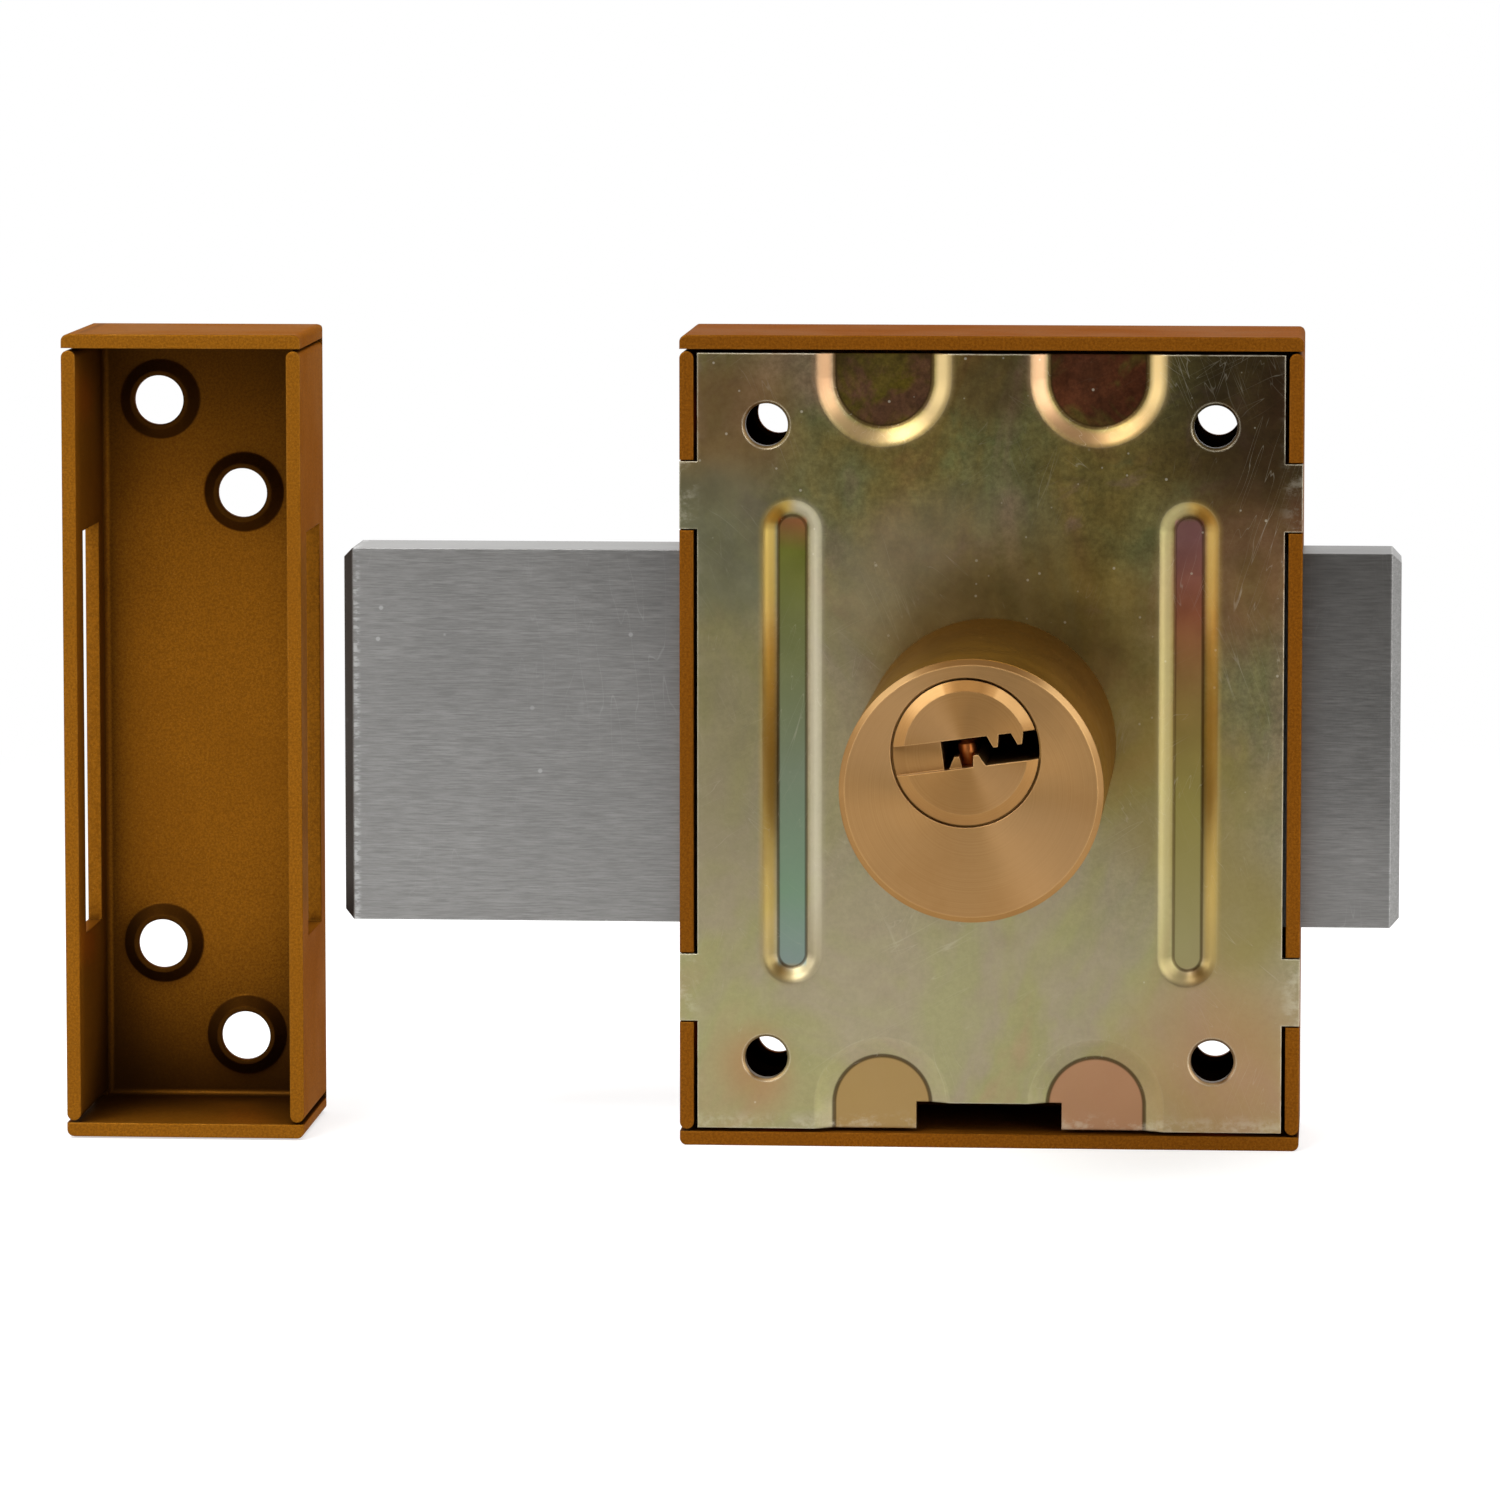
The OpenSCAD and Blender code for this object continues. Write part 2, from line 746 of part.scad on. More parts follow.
module turn_washer() {
    color(nickel)
        at_drive()
            difference() {
                rod(turn_base_d / 2 - washer_edge, washer_y, washer_y + washer_t);
                rod(bush_journal_d / 2 + 4 * touch, washer_y - over, washer_y + washer_t + over);
            }
}

// The thumb turn: a round base and an upright grip with a crowned end
module thumb_turn() {
    base_back = turn_y + turn_base_t;
    grip_back = base_back + grip_h;
    color(brass)
        at_drive()
            difference() {
                union() {
                    rod(turn_base_d / 2, turn_y, base_back - turn_ease);
                    taper(turn_base_d / 2, turn_base_d / 2 - turn_ease, base_back - turn_ease, base_back);
                    intersection() {
                        slab(base_back - turn_ease, grip_back)
                            round_rect(grip_t, grip_len, grip_t / 2 - hair);
                        translate([0, grip_back - crown_r, 0])
                            rotate([0, 90, 0])
                                cylinder(h = grip_t + over, r = crown_r, center = true, $fn = 128);
                    }
                }
                slab(turn_y - over, turn_y + square_len + touch)
                    square(square_w + 2 * touch, center = true);
                grub_axis() cylinder(h = grip_t, r = grub_d / 2 + touch / 2);
            }
}

// The grub screw's axis, from the square's side out through the grip
module grub_axis() {
    translate([square_w / 2 + touch, turn_y + turn_base_t + grub_d, 0]) rotate([0, 90, 0]) children();
}

module turn_grub_screw() {
    length = (grip_t - square_w) / 2 - 2 * touch;
    color(steel)
        at_drive()
            grub_axis()
                difference() {
                    translate([0, 0, touch]) cylinder(h = length, r = grub_d / 2);
                    translate([0, 0, length / 2 + touch]) cylinder(h = length, r = grub_d / 4, $fn = 6);
                }
}

// The cylinder's own axis, below the plug's
module at_cylinder() {
    at_plug() translate([0, 0, -plug_offset]) children();
}

module cylinder_body() {
    edge_y = cylinder_front + cylinder_chamfer;
    color(brass)
        difference() {
            at_cylinder() {
                rod(cylinder_r, edge_y, 0);
                taper(cylinder_r - cylinder_chamfer, cylinder_r, cylinder_front, edge_y);
            }
            at_plug() {
                rod(plug_r + mouth_gap, cylinder_front - over, cylinder_front + mouth_deep);
                rod(plug_bore_r, cylinder_front, -neck_len);
                rod(neck_d / 2 + run_fit, -neck_len - over, over);
                rod(neck_d / 2 + recess_w, -rear_recess, over);
                pin_holes(plug_r - over, cylinder_r + plug_offset + over);
            }
            at_cylinder()
                spots(cylinder_screw_spots)
                    rod(cylinder_screw_d / 2 + touch / 2, -cylinder_screw_deep - touch, over);
        }
}

// Round holes of the pin chambers, from one distance below the plug's axis to another
module pin_holes(near, far) {
    for (y = pins_y) translate([0, y, -far]) cylinder(h = far - near, r = chamber_r);
}

// The keyway: open at one side of the plug, with two ridges below and two teeth above
module keyway_outline() {
    half = keyway_h / 2;
    difference() {
        translate([-keyway_side, -half]) square([keyway_side + plug_r + over, keyway_h]);
        for (x = [-1, 1])
            scale([x, 1])
                polygon([
                    [ridge_in, -half - touch], [ridge_out, -half - touch],
                    [ridge_top_out, ridge_h - half], [ridge_top_in, ridge_h - half]
                ]);
        for (x = ward_spots)
            translate([x, half])
                polygon([[0, touch], [ward_foot, touch], [ward_tip_end, -ward_h], [ward_tip_start, -ward_h]]);
    }
}

module cylinder_plug() {
    color(brass)
        at_plug()
            difference() {
                union() {
                    taper(plug_r - plug_bevel, plug_r, plug_front, cylinder_front);
                    rod(plug_r, cylinder_front, -neck_len - touch);
                    rod(neck_d / 2, -neck_len - touch, -touch);
                }
                slab(plug_front - over, -neck_len - end_wall) keyway_outline();
                slab(plug_front - over, plug_front + face_groove)
                    translate([-plug_r - over, -keyway_h / 2]) square([plug_r + over + ridge_in, keyway_h]);
                pin_holes(-keyway_h / 2 + ridge_h, plug_r + over);
                clip_groove();
                slab(tail_front - tail_clear, over)
                    square([tail_t + 2 * tail_clear, tail_w + 2 * tail_clear], center = true);
                tail_pin_axis() cylinder(h = neck_d + over, r = tail_pin_d / 2 + touch / 2, center = true);
            }
}

// Groove for the retaining clip, behind the collar in the cylinder
module clip_groove() {
    difference() {
        rod(neck_d, -rear_recess, -rear_recess + clip_t + 2 * touch);
        rod(neck_d / 2 - clip_depth, -rear_recess - over, 0);
    }
}

module plug_circlip() {
    clip_y = -rear_recess + touch;
    color(steel)
        at_plug()
            difference() {
                rod(neck_d / 2 + clip_w, clip_y, clip_y + clip_t);
                rod(neck_d / 2 - clip_depth + touch, -neck_len, 0);
                translate([0, 0, -neck_d / 2]) cube([neck_d * clip_gap, 2 * neck_len, neck_d], center = true);
            }
}

// Key pins stand in the plug, driver pins below the shear line in the body
module key_pins() {
    color(red_brass)
        at_plug()
            for (i = [0 : pin_count - 1])
                translate([0, pins_y[i], -pin_end]) {
                    cylinder(h = pin_end + pin_tips[i] - pin_tip_h, r = pin_r);
                    translate([0, 0, pin_end + pin_tips[i] - pin_tip_h])
                        cylinder(h = pin_tip_h, r1 = pin_r, r2 = pin_r * pin_nose);
                }
}

module driver_pins() {
    color(brass)
        at_plug()
            for (y = pins_y)
                translate([0, y, -shear - run_fit - driver_len]) cylinder(h = driver_len, r = pin_r);
}

module chamber_caps() {
    color(brass)
        at_plug()
            for (y = pins_y)
                translate([0, y, -cap_floor - cap_t]) cylinder(h = cap_t, r = chamber_r - touch / 2);
}

// Helical pin springs between drivers and caps
function wire_point(i, a) =
    let (turn = i * 360 / curl_rings, out = spring_r + spring_wire / 2 * cos(a))
    [out * cos(turn), out * sin(turn), spring_wire / 2 + i * spring_rise + spring_wire / 2 * sin(a)];

// Least gap between one curl and the next
echo(spring_gap = curl_rings * spring_rise - spring_wire);

module wire_spring() {
    n = spring_sides;
    points = [for (i = [0 : spring_rings], k = [0 : n - 1]) wire_point(i, k * 360 / n)];
    sides = [
        for (i = [0 : spring_rings - 1], k = [0 : n - 1])
            let (a = i * n + k, b = i * n + (k + 1) % n)
            each [[a, b, a + n], [b, b + n, a + n]]
    ];
    first = [for (k = [1 : n - 2]) [0, k + 1, k]];
    last = [for (k = [1 : n - 2]) spring_rings * n * [1, 1, 1] + [0, k, k + 1]];
    polyhedron(points, concat(sides, first, last));
}

module pin_springs() {
    color(steel)
        at_plug()
            for (y = pins_y)
                translate([0, y, -spring_top - spring_len]) wire_spring();
}

module tail_bar() {
    color(steel)
        at_plug()
            difference() {
                slab(tail_front, tail_back) square([tail_t, tail_w], center = true);
                tail_pin_axis() cylinder(h = neck_d, r = tail_pin_d / 2 + touch / 2, center = true);
            }
}

// Cross pin that holds the tail bar in the plug's neck
module tail_pin_axis() {
    translate([0, tail_pin_y, 0]) rotate([0, 90, 0]) children();
}

module tail_pin() {
    color(steel) at_plug() tail_pin_axis() cylinder(h = neck_d - over, r = tail_pin_d / 2, center = true);
}

module cylinder_screws() {
    color(nickel)
        at_cylinder()
            spots(cylinder_screw_spots) slotted_screw(cylinder_screw_d, plate_t, -cylinder_screw_deep);
}

// The keep: a box like the case, slotted through both sides for the bolt
module keep_box() {
    color(paint)
        translate([keep_x, 0, 0])
            difference() {
                union() {
                    folded_box(keep_w, keep_h, case_depth);
                    spots(keep_holes) dimple(keep_hole_d);
                }
                spots(keep_holes) sunk_hole(keep_hole_d);
                bolt_window(keep_w + 2 * over, keep_clear, keep_clear_z);
            }
}

case_shell();
back_plate();
bolt();
bolt_guide_upper();
bolt_guide_lower();
guide_rivets();
bearing_bridge();
bridge_screws();
drive_pinion();
front_bush();
bush_nut();
turn_washer();
thumb_turn();
turn_grub_screw();
cylinder_body();
cylinder_plug();
key_pins();
driver_pins();
pin_springs();
chamber_caps();
plug_circlip();
tail_bar();
tail_pin();
cylinder_screws();
keep_box();
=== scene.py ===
import math
from collections import namedtuple

import bpy
from mathutils import Euler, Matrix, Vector


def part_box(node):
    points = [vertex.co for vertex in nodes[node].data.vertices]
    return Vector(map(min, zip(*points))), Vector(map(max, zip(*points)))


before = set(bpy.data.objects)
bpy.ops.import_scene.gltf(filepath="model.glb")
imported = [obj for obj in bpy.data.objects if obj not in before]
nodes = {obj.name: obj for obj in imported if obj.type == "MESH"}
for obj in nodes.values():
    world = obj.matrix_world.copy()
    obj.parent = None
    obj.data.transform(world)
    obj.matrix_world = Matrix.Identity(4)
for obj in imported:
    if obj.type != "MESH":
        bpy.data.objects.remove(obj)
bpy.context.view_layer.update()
scene = bpy.context.scene
MM = 0.001


def srgb(r, g, b):
    """A colour written as sRGB, turned into linear light."""

    def linear(v):
        v /= 255
        return v / 12.92 if v <= 0.04045 else ((v + 0.055) / 1.055) ** 2.4

    return (linear(r), linear(g), linear(b), 1)


def grey(level):
    """A grey in linear light."""
    return (level, level, level, 1)


def put(tree, socket, value):
    """Sets a socket to a value, or links it to another socket."""
    if isinstance(value, bpy.types.NodeSocket):
        tree.links.new(value, socket)
    else:
        socket.default_value = value


def new_node(tree, kind, *values, **named):
    """A new shader node, with its inputs set or linked in their order or by name."""
    node = tree.nodes.new("ShaderNode" + kind)
    for socket, value in zip(node.inputs, values):
        put(tree, socket, value)
    for name, value in named.items():
        put(tree, node.inputs[name], value)
    return node


# Places of the colour sockets among a mix node's inputs and outputs
COLOUR_A, COLOUR_B, COLOUR_OUT = 6, 7, 2
# Shifts that take the patterns of nicks and scratches off the object's own planes
NICK_SHIFT = (0, 1.3 * MM, 0)
SCRATCH_SHIFT = (11 * MM, 4.3 * MM, 7 * MM)
# How much coarser the patches are that scratches come in
SCRATCH_PATCH = 14


class Shader:
    """A node material, with short calls for the nodes that the finishes share."""

    def __init__(self, name):
        self.material = bpy.data.materials.new(name)
        self.material.use_nodes = True
        self.tree = self.material.node_tree
        self.tree.nodes.clear()
        self.skin = self.add("BsdfPrincipled")
        self.add("OutputMaterial", self.skin.outputs[0])
        self.place = self.add("TexCoord").outputs["Object"]
        self.x, self.y, self.z = self.add("SeparateXYZ", self.place).outputs

    def add(self, kind, *values, **named):
        return new_node(self.tree, kind, *values, **named)

    def set(self, **values):
        """Sets or links the skin's inputs, with underscores for the spaces in their names."""
        for name, value in values.items():
            put(self.tree, self.skin.inputs[name.replace("_", " ")], value)

    # Sums on single numbers
    def math(self, how, a, b=0.0, clamp=False):
        node = self.add("Math", a, b)
        node.operation = how
        node.use_clamp = clamp
        return node.outputs[0]

    def times(self, product, *others):
        for value in others:
            product = self.math("MULTIPLY", product, value)
        return product

    def plus(self, a, b):
        return self.math("ADD", a, b)

    def minus(self, a, b):
        return self.math("SUBTRACT", a, b)

    def most(self, a, b):
        return self.math("MAXIMUM", a, b)

    def absolute(self, value):
        return self.math("ABSOLUTE", value)

    def flip(self, mask):
        return self.minus(1.0, mask)

    def length(self, a, b):
        return self.math("SQRT", self.plus(self.times(a, a), self.times(b, b)))

    def reach(self, x, z):
        """Distance from a line along Y through x and z."""
        return self.length(self.minus(self.x, x), self.minus(self.z, z))

    def span(self, value, low, high, to_low=0.0, to_high=1.0, smooth=True):
        """Takes the range from low to high to another range, and stays at its ends beyond."""
        node = self.add("MapRange", value, low, high, to_low, to_high)
        node.interpolation_type = "SMOOTHSTEP" if smooth else "LINEAR"
        return node.outputs[0]

    def grow(self, value, start, end, amount=1.0):
        return self.span(value, start, end, 0.0, amount)

    def fade(self, value, start, end, amount=1.0):
        return self.span(value, start, end, amount, 0.0)

    # Patterns
    def stretch(self, scale, turn=(0, 0, 0), shift=(0, 0, 0)):
        """Object coordinates, scaled, turned and shifted."""
        node = self.add("Mapping", Vector=self.place, Location=shift, Rotation=turn)
        if turn == (0, 0, 0):
            node.inputs["Scale"].default_value = scale
        else:
            node.vector_type = "TEXTURE"
            node.inputs["Scale"].default_value = [1 / v for v in scale]
        return node.outputs[0]

    def shifted(self, *shift):
        return self.stretch((1, 1, 1), shift=shift)

    def noise(self, vector, scale, detail=3.0, rough=0.55, warp=0.0):
        node = self.add("TexNoise", Vector=vector, Scale=scale, Detail=detail, Roughness=rough)
        node.inputs["Distortion"].default_value = warp
        return node.outputs["Fac"]

    def line_noise(self, value, scale, detail, rough):
        """Noise that changes with one number only, for turned grooves."""
        node = self.add("TexNoise", Scale=scale, Detail=detail, Roughness=rough)
        node.noise_dimensions = "1D"
        put(self.tree, node.inputs["W"], value)
        return node.outputs["Fac"]

    def nicks(self, scale, size, rare):
        """Small dents in a few cells of a pattern of points, fewer the closer rare is to one."""
        cells = self.add("TexVoronoi", Vector=self.shifted(*NICK_SHIFT), Scale=scale)
        spot = self.fade(cells.outputs["Distance"], 0.5 * size, size)
        lot = self.add("SeparateColor", cells.outputs["Color"]).outputs[0]
        return self.times(spot, self.grow(lot, rare, rare + 0.02))

    def scratches(self, scale, thin, turn, spread=26):
        """Sparse hairlines along one direction, the thin contours of a drawn-out noise."""
        about_y = (0, turn, 0)
        drawn = self.stretch((scale / spread, scale, scale), about_y, SCRATCH_SHIFT)
        lines = self.absolute(self.minus(self.noise(drawn, scale=1.0, detail=1.0, rough=0.4), 0.5))
        patch = self.grow(self.noise(self.shifted(*about_y), scale / SCRATCH_PATCH), 0.52, 0.68)
        return self.times(self.fade(lines, 0.0, thin), patch)

    # Colours
    def ramp(self, value, stops):
        node = self.add("ValToRGB", value)
        elements = node.color_ramp.elements
        while len(elements) < len(stops):
            elements.new(0.5)
        for element, (position, colour) in zip(elements, stops):
            element.position = position
            element.color = colour
        return node.outputs[0]

    def mix(self, amount, a, b, how="MIX"):
        node = self.add("Mix", amount)
        node.data_type = "RGBA"
        node.blend_type = how
        put(self.tree, node.inputs[COLOUR_A], a)
        put(self.tree, node.inputs[COLOUR_B], b)
        return node.outputs[COLOUR_OUT]

    # Surface shape
    def occlusion(self, distance):
        node = self.add("AmbientOcclusion", Distance=distance)
        node.samples = 8
        node.only_local = True
        return node.outputs["AO"]

    def soft_edges(self, radius):
        node = self.add("Bevel", Radius=radius)
        node.samples = 4
        return node.outputs[0]

    def edge_mask(self, normal, gain):
        """Bright where the rounded normal leaves the face's own, which is along edges."""
        dot = self.add("VectorMath", normal, self.add("NewGeometry").outputs["Normal"])
        dot.operation = "DOT_PRODUCT"
        return self.math("MULTIPLY", self.flip(dot.outputs["Value"]), gain, clamp=True)

    def round_grain(self):
        """Tangents that run round the Y axis, as a lathe leaves them."""
        node = self.add("Tangent")
        node.direction_type = "RADIAL"
        node.axis = "Y"
        return node.outputs[0]

    def bump(self, height, strength, distance, normal):
        node = self.add("Bump", Height=height, Strength=strength, Distance=distance, Normal=normal)
        return node.outputs[0]


# How far the painted shade in the corners of case and keep reaches, and the height either side of the
# middle over which that painted shade gets weaker upwards
CORNER_REACH = 22 * MM
CORNER_HEIGHT = 45 * MM
# Of the two faces of a box's floor, the inner one has a smaller y than this.
INSIDE_Y = 25.5 * MM
ENAMEL_TINT = srgb(190, 142, 82)


def painted(name, base, deep, pale, dark, dimples=(), wall=None):
    """Gold-brown metallic enamel: fine flake, orange peel, wear along folded edges, and painted shade in
    the corners.
    """
    paint = Shader(name)
    flake = paint.noise(paint.place, scale=3300, detail=2.0, rough=0.75)
    cloud = paint.noise(paint.place, scale=60)
    tone = paint.mix(paint.grow(flake, 0.34, 0.66), deep, base)
    tone = paint.mix(paint.grow(cloud, 0.4, 0.75, 0.3), tone, deep)
    spark = paint.noise(paint.place, scale=5600, detail=1.0)
    tone = paint.mix(paint.grow(spark, 0.64, 0.76, 0.45), tone, pale)
    rounded = paint.soft_edges(0.35 * MM)
    rubbed = paint.grow(paint.noise(paint.place, scale=240, detail=4.0), 0.42, 0.66)
    tone = paint.mix(paint.times(paint.edge_mask(rounded, 5.0), rubbed, 0.4), tone, pale)
    # Painted shade of the box's corners, dimples and inner wall, in the colour dark
    tone = paint.mix(painted_box_shade(paint, dimples, wall), tone, dark)
    peel = paint.noise(paint.place, scale=900, detail=2.0)
    paint.set(
        Base_Color=tone,
        Metallic=0.45,
        Roughness=paint.span(cloud, 0.3, 0.75, 0.3, 0.42),
        Specular_IOR_Level=0.0,
        Specular_Tint=ENAMEL_TINT,
        Normal=paint.bump(paint.plus(paint.times(flake, 0.7), peel), 0.3, 0.05 * MM, rounded),
    )
    return paint.material


def painted_box_shade(paint, dimples, wall):
    """Painted shade in the corners, weaker upwards, in rings round the screw dimples and along the inside
    of one wall.
    """
    hidden = paint.flip(paint.grow(paint.occlusion(CORNER_REACH), 0.26, 0.88))
    weaker = paint.span(paint.z, -CORNER_HEIGHT, CORNER_HEIGHT, 1.12, 0.86)
    shade = paint.math("MULTIPLY", hidden, weaker, clamp=True)
    inside = paint.fade(paint.y, INSIDE_Y, INSIDE_Y + 0.5 * MM)
    for x, z, radius in dimples:
        ring = paint.fade(paint.reach(x, z), radius - 0.3 * MM, radius + 0.1 * MM, 0.9)
        shade = paint.most(shade, paint.times(ring, inside))
    if wall is not None:
        depth = paint.minus(paint.x, wall)
        from_wall = paint.grow(depth, -0.1 * MM, -0.02 * MM)
        near_wall = paint.fade(depth, 0.2 * MM, 1.4 * MM, 0.35)
        behind_rim = paint.grow(paint.y, 1 * MM, 5 * MM)
        shade = paint.most(shade, paint.times(from_wall, near_wall, behind_rim))
    return shade


# Pressings of the back plate: two long grooves with round ends, and four lands that are open at the
# plate's upper and lower edge. Given are the centre lines, the centres of the round ends and half the
# width of the flat floors.
GROOVE_X = 25.5 * MM
GROOVE_END = 27.5 * MM
GROOVE_FLOOR = 1.8 * MM
LAND_X = 13.8 * MM
LAND_END = 47 * MM
LAND_FLOOR = 6.2 * MM
# Width over which one side's colour goes over into the other's
SIDE_BLEND = 1 * MM

# Clouds of the chromate in the lower and in the upper part of the plate; the upper ones are darker,
# partly chromate colour and partly painted shade
PALE_CLOUDS = (
    (0.34, srgb(160, 142, 106)),
    (0.44, srgb(153, 148, 104)),
    (0.54, srgb(156, 145, 118)),
    (0.66, srgb(153, 148, 108)),
)
SHADED_UPPER_CLOUDS = (
    (0.32, srgb(112, 78, 46)),
    (0.42, srgb(120, 104, 54)),
    (0.52, srgb(110, 108, 66)),
    (0.60, srgb(130, 112, 86)),
    (0.70, srgb(116, 84, 62)),
)
FILM_ROSE = srgb(128, 98, 96)
FILM_GREEN = srgb(104, 118, 74)

# Soft blooms: x, z and radius in millimetres, and colour
ROSE = srgb(164, 118, 78)
RUST = srgb(130, 86, 50)
MIST = srgb(104, 111, 95)
GOLD = srgb(138, 122, 62)
ASH = srgb(142, 128, 102)
UMBER = srgb(86, 62, 34)
BLOOMS = (
    (32, -42, 19, ROSE),
    (-30, -42, 10, ROSE),
    (-34, 42, 12, RUST),
    (33, 25, 18, RUST),
    (-35, 27, 11, MIST),
    (25, -8, 16, GOLD),
    (34, -22, 12, GOLD),
    (-10, 21, 14, ASH),
    (0, 46, 9, UMBER),
)
CROWN = srgb(150, 132, 104)
MARGIN = srgb(104, 92, 56)
# Painted shade in the upper right corner, and the gold and the dark painted reflection of the cylinder
# round its seat
CORNER_SHADE = srgb(50, 36, 22)
SEAT_GOLD_REFLECTION = srgb(140, 110, 40)
SEAT_DARK_REFLECTION = srgb(88, 70, 28)

# Floors of the left and the right groove, from the bottom up
COOL_STRIP = (
    (0.0, srgb(118, 136, 136)),
    (0.2, srgb(108, 140, 116)),
    (0.45, srgb(114, 130, 108)),
    (0.65, srgb(112, 120, 74)),
    (0.9, srgb(106, 110, 34)),
    (0.985, srgb(150, 92, 56)),
)
ROSY_STRIP = (
    (0.04, srgb(146, 138, 94)),
    (0.36, srgb(140, 130, 68)),
    (0.58, srgb(140, 114, 60)),
    (0.76, srgb(152, 88, 62)),
    (0.96, srgb(134, 90, 90)),
)

# Other tints of grooves and lands, each for the left and the right half of the plate; the flank and
# shoulder tints are painted sheen, partly chromate colour
INNER_FLANK_SHEEN = (srgb(188, 180, 158), srgb(172, 160, 112))
OUTER_FLANK_SHEEN = (srgb(194, 160, 68), srgb(206, 172, 90))
UPPER_LAND = (srgb(84, 70, 16), srgb(84, 38, 22))
LAND_FLECK = (srgb(98, 60, 50), srgb(84, 74, 28))
LOWER_LAND = (srgb(158, 128, 78), srgb(164, 120, 88))
LEFT_SHOULDER_SHEEN = (srgb(172, 134, 98), srgb(206, 164, 124))
RIGHT_SHOULDER_SHEEN = (srgb(212, 186, 132), srgb(230, 198, 136))
SHOULDER_FOOT_SHEEN = (srgb(132, 112, 74), srgb(98, 64, 34))

# The grooves' lower flanks, where the painted sheen is toned down, the painted shade in the creases round
# all floors, and worn spots
LOW_FLANK = srgb(124, 108, 66)
CREASE_SHADE = srgb(62, 44, 18)
BARE_ZINC = srgb(206, 198, 176)


class Chromate(Shader):
    """The back plate's finish, with the masks and patterns that its marks share."""

    def __init__(self, name):
        super().__init__(name)
        self.drift = self.span(self.noise(self.place, scale=22, detail=2.0), 0.3, 0.7, -12 * MM, 12 * MM)
        # A height that rises to the upper right, along which the plate is painted darker: partly chromate
        # colour, partly painted shade
        rise = self.plus(self.plus(self.z, self.drift), self.times(self.x, 0.35))
        self.upward = self.grow(rise, -26 * MM, 44 * MM)
        self.patchy = self.plus(self.times(self.upward, 0.8), 0.2)
        self.right = self.grow(self.x, -SIDE_BLEND, SIDE_BLEND)
        self.upper = self.grow(self.z, -SIDE_BLEND, SIDE_BLEND)
        self.film = self.noise(self.shifted(0.2, 0.1, 0.3), scale=105, detail=4.0, rough=0.6, warp=0.6)
        coarse = self.noise(self.shifted(0.4, 0.3, 0.1), scale=330, detail=5.0, rough=0.7)
        self.blotch = self.span(coarse, 0.32, 0.68, 0.72, 1.2)
        fine = self.noise(self.place, scale=1300, detail=4.0, rough=0.75)
        self.speck = self.span(fine, 0.32, 0.68, 0.78, 1.22)

    def sides(self, left, right):
        return self.mix(self.right, left, right)

    def wandering(self, x, z, amount):
        """Distance from a point of the plate, with a wavy outline."""
        return self.plus(self.reach(x, z), self.times(self.drift, amount))

    def clouds(self):
        """Pale clouds below and darker, rosy and green ones above; the darkening upwards and to the right
        is partly chromate colour, partly painted shade.
        """
        cloud = self.noise(self.stretch((1, 1, 0.7)), scale=38, detail=4.0, rough=0.6, warp=0.8)
        tone = self.mix(self.upward, self.ramp(cloud, PALE_CLOUDS), self.ramp(cloud, SHADED_UPPER_CLOUDS))
        rosy = self.grow(self.film, 0.54, 0.7, 0.45)
        tone = self.mix(self.times(rosy, self.patchy), tone, FILM_ROSE)
        green = self.fade(self.film, 0.3, 0.45, 0.4)
        tone = self.mix(self.times(green, self.patchy), tone, FILM_GREEN)
        tone = self.mix(self.times(self.patchy, 0.7), tone, self.blotch, "MULTIPLY")
        return self.mix(self.patchy, tone, self.speck, "MULTIPLY")

    def blooms(self, tone, seat):
        """Large soft stains, painted shade at the upper right corner, and painted reflections of the
        cylinder: gold beside it and dark round its seat.
        """
        crown = self.fade(self.reach(2 * MM, 24 * MM), 4 * MM, 13 * MM, 0.22)
        tone = self.mix(crown, tone, CROWN)
        for x, z, radius, colour in BLOOMS:
            far = self.wandering(x * MM, z * MM, 0.35)
            tone = self.mix(self.fade(far, 0.3 * radius * MM, radius * MM, 0.6), tone, colour)
        left_edge = self.fade(self.x, -34 * MM, -18 * MM)
        tone = self.mix(self.times(left_edge, self.grow(self.z, -40 * MM, 0.0), 0.3), tone, MARGIN)
        # Painted shade: darker towards the upper right corner
        corner = self.wandering(34 * MM, 46 * MM, 0.5)
        tone = self.mix(self.fade(corner, 6 * MM, 24 * MM, 0.85), tone, CORNER_SHADE)
        # Painted reflections of the cylinder: a gold band beside it and a dark halo above and right of
        # its seat
        gold = self.wandering(seat[0] + 6 * MM, seat[1] + 9 * MM, 0.25)
        tone = self.mix(self.fade(gold, 14 * MM, 22 * MM, 0.4), tone, SEAT_GOLD_REFLECTION)
        halo = self.fade(self.reach(2 * MM, 4 * MM), 15 * MM, 21 * MM, 0.5)
        above = self.grow(self.z, 2 * MM, 14 * MM)
        rightwards = self.span(self.x, -16 * MM, -2 * MM, 0.25, 1.0)
        return self.mix(self.times(halo, above, rightwards), tone, SEAT_DARK_REFLECTION)

    def grooves(self, tone):
        """Each flat floor has its own run of colours, and each sloped flank a tint that is partly
        chromate colour, partly painted sheen.
        """
        side = self.minus(self.absolute(self.x), GROOVE_X)
        past_end = self.most(self.minus(self.absolute(self.z), GROOVE_END), 0.0)
        out = self.length(side, past_end)
        across = self.fade(self.absolute(side), GROOVE_FLOOR - 0.1 * MM, GROOVE_FLOOR + 0.2 * MM)
        along = self.fade(self.absolute(self.z), GROOVE_END + 1.1 * MM, GROOVE_END + 1.9 * MM)
        height = self.plus(self.z, self.times(self.drift, 0.2))
        run = self.span(height, -29 * MM, 29 * MM, smooth=False)
        strip = self.sides(self.ramp(run, COOL_STRIP), self.ramp(run, ROSY_STRIP))
        tone = self.mix(self.times(across, along, 0.85), tone, strip)
        outward = self.grow(side, -SIDE_BLEND, SIDE_BLEND)
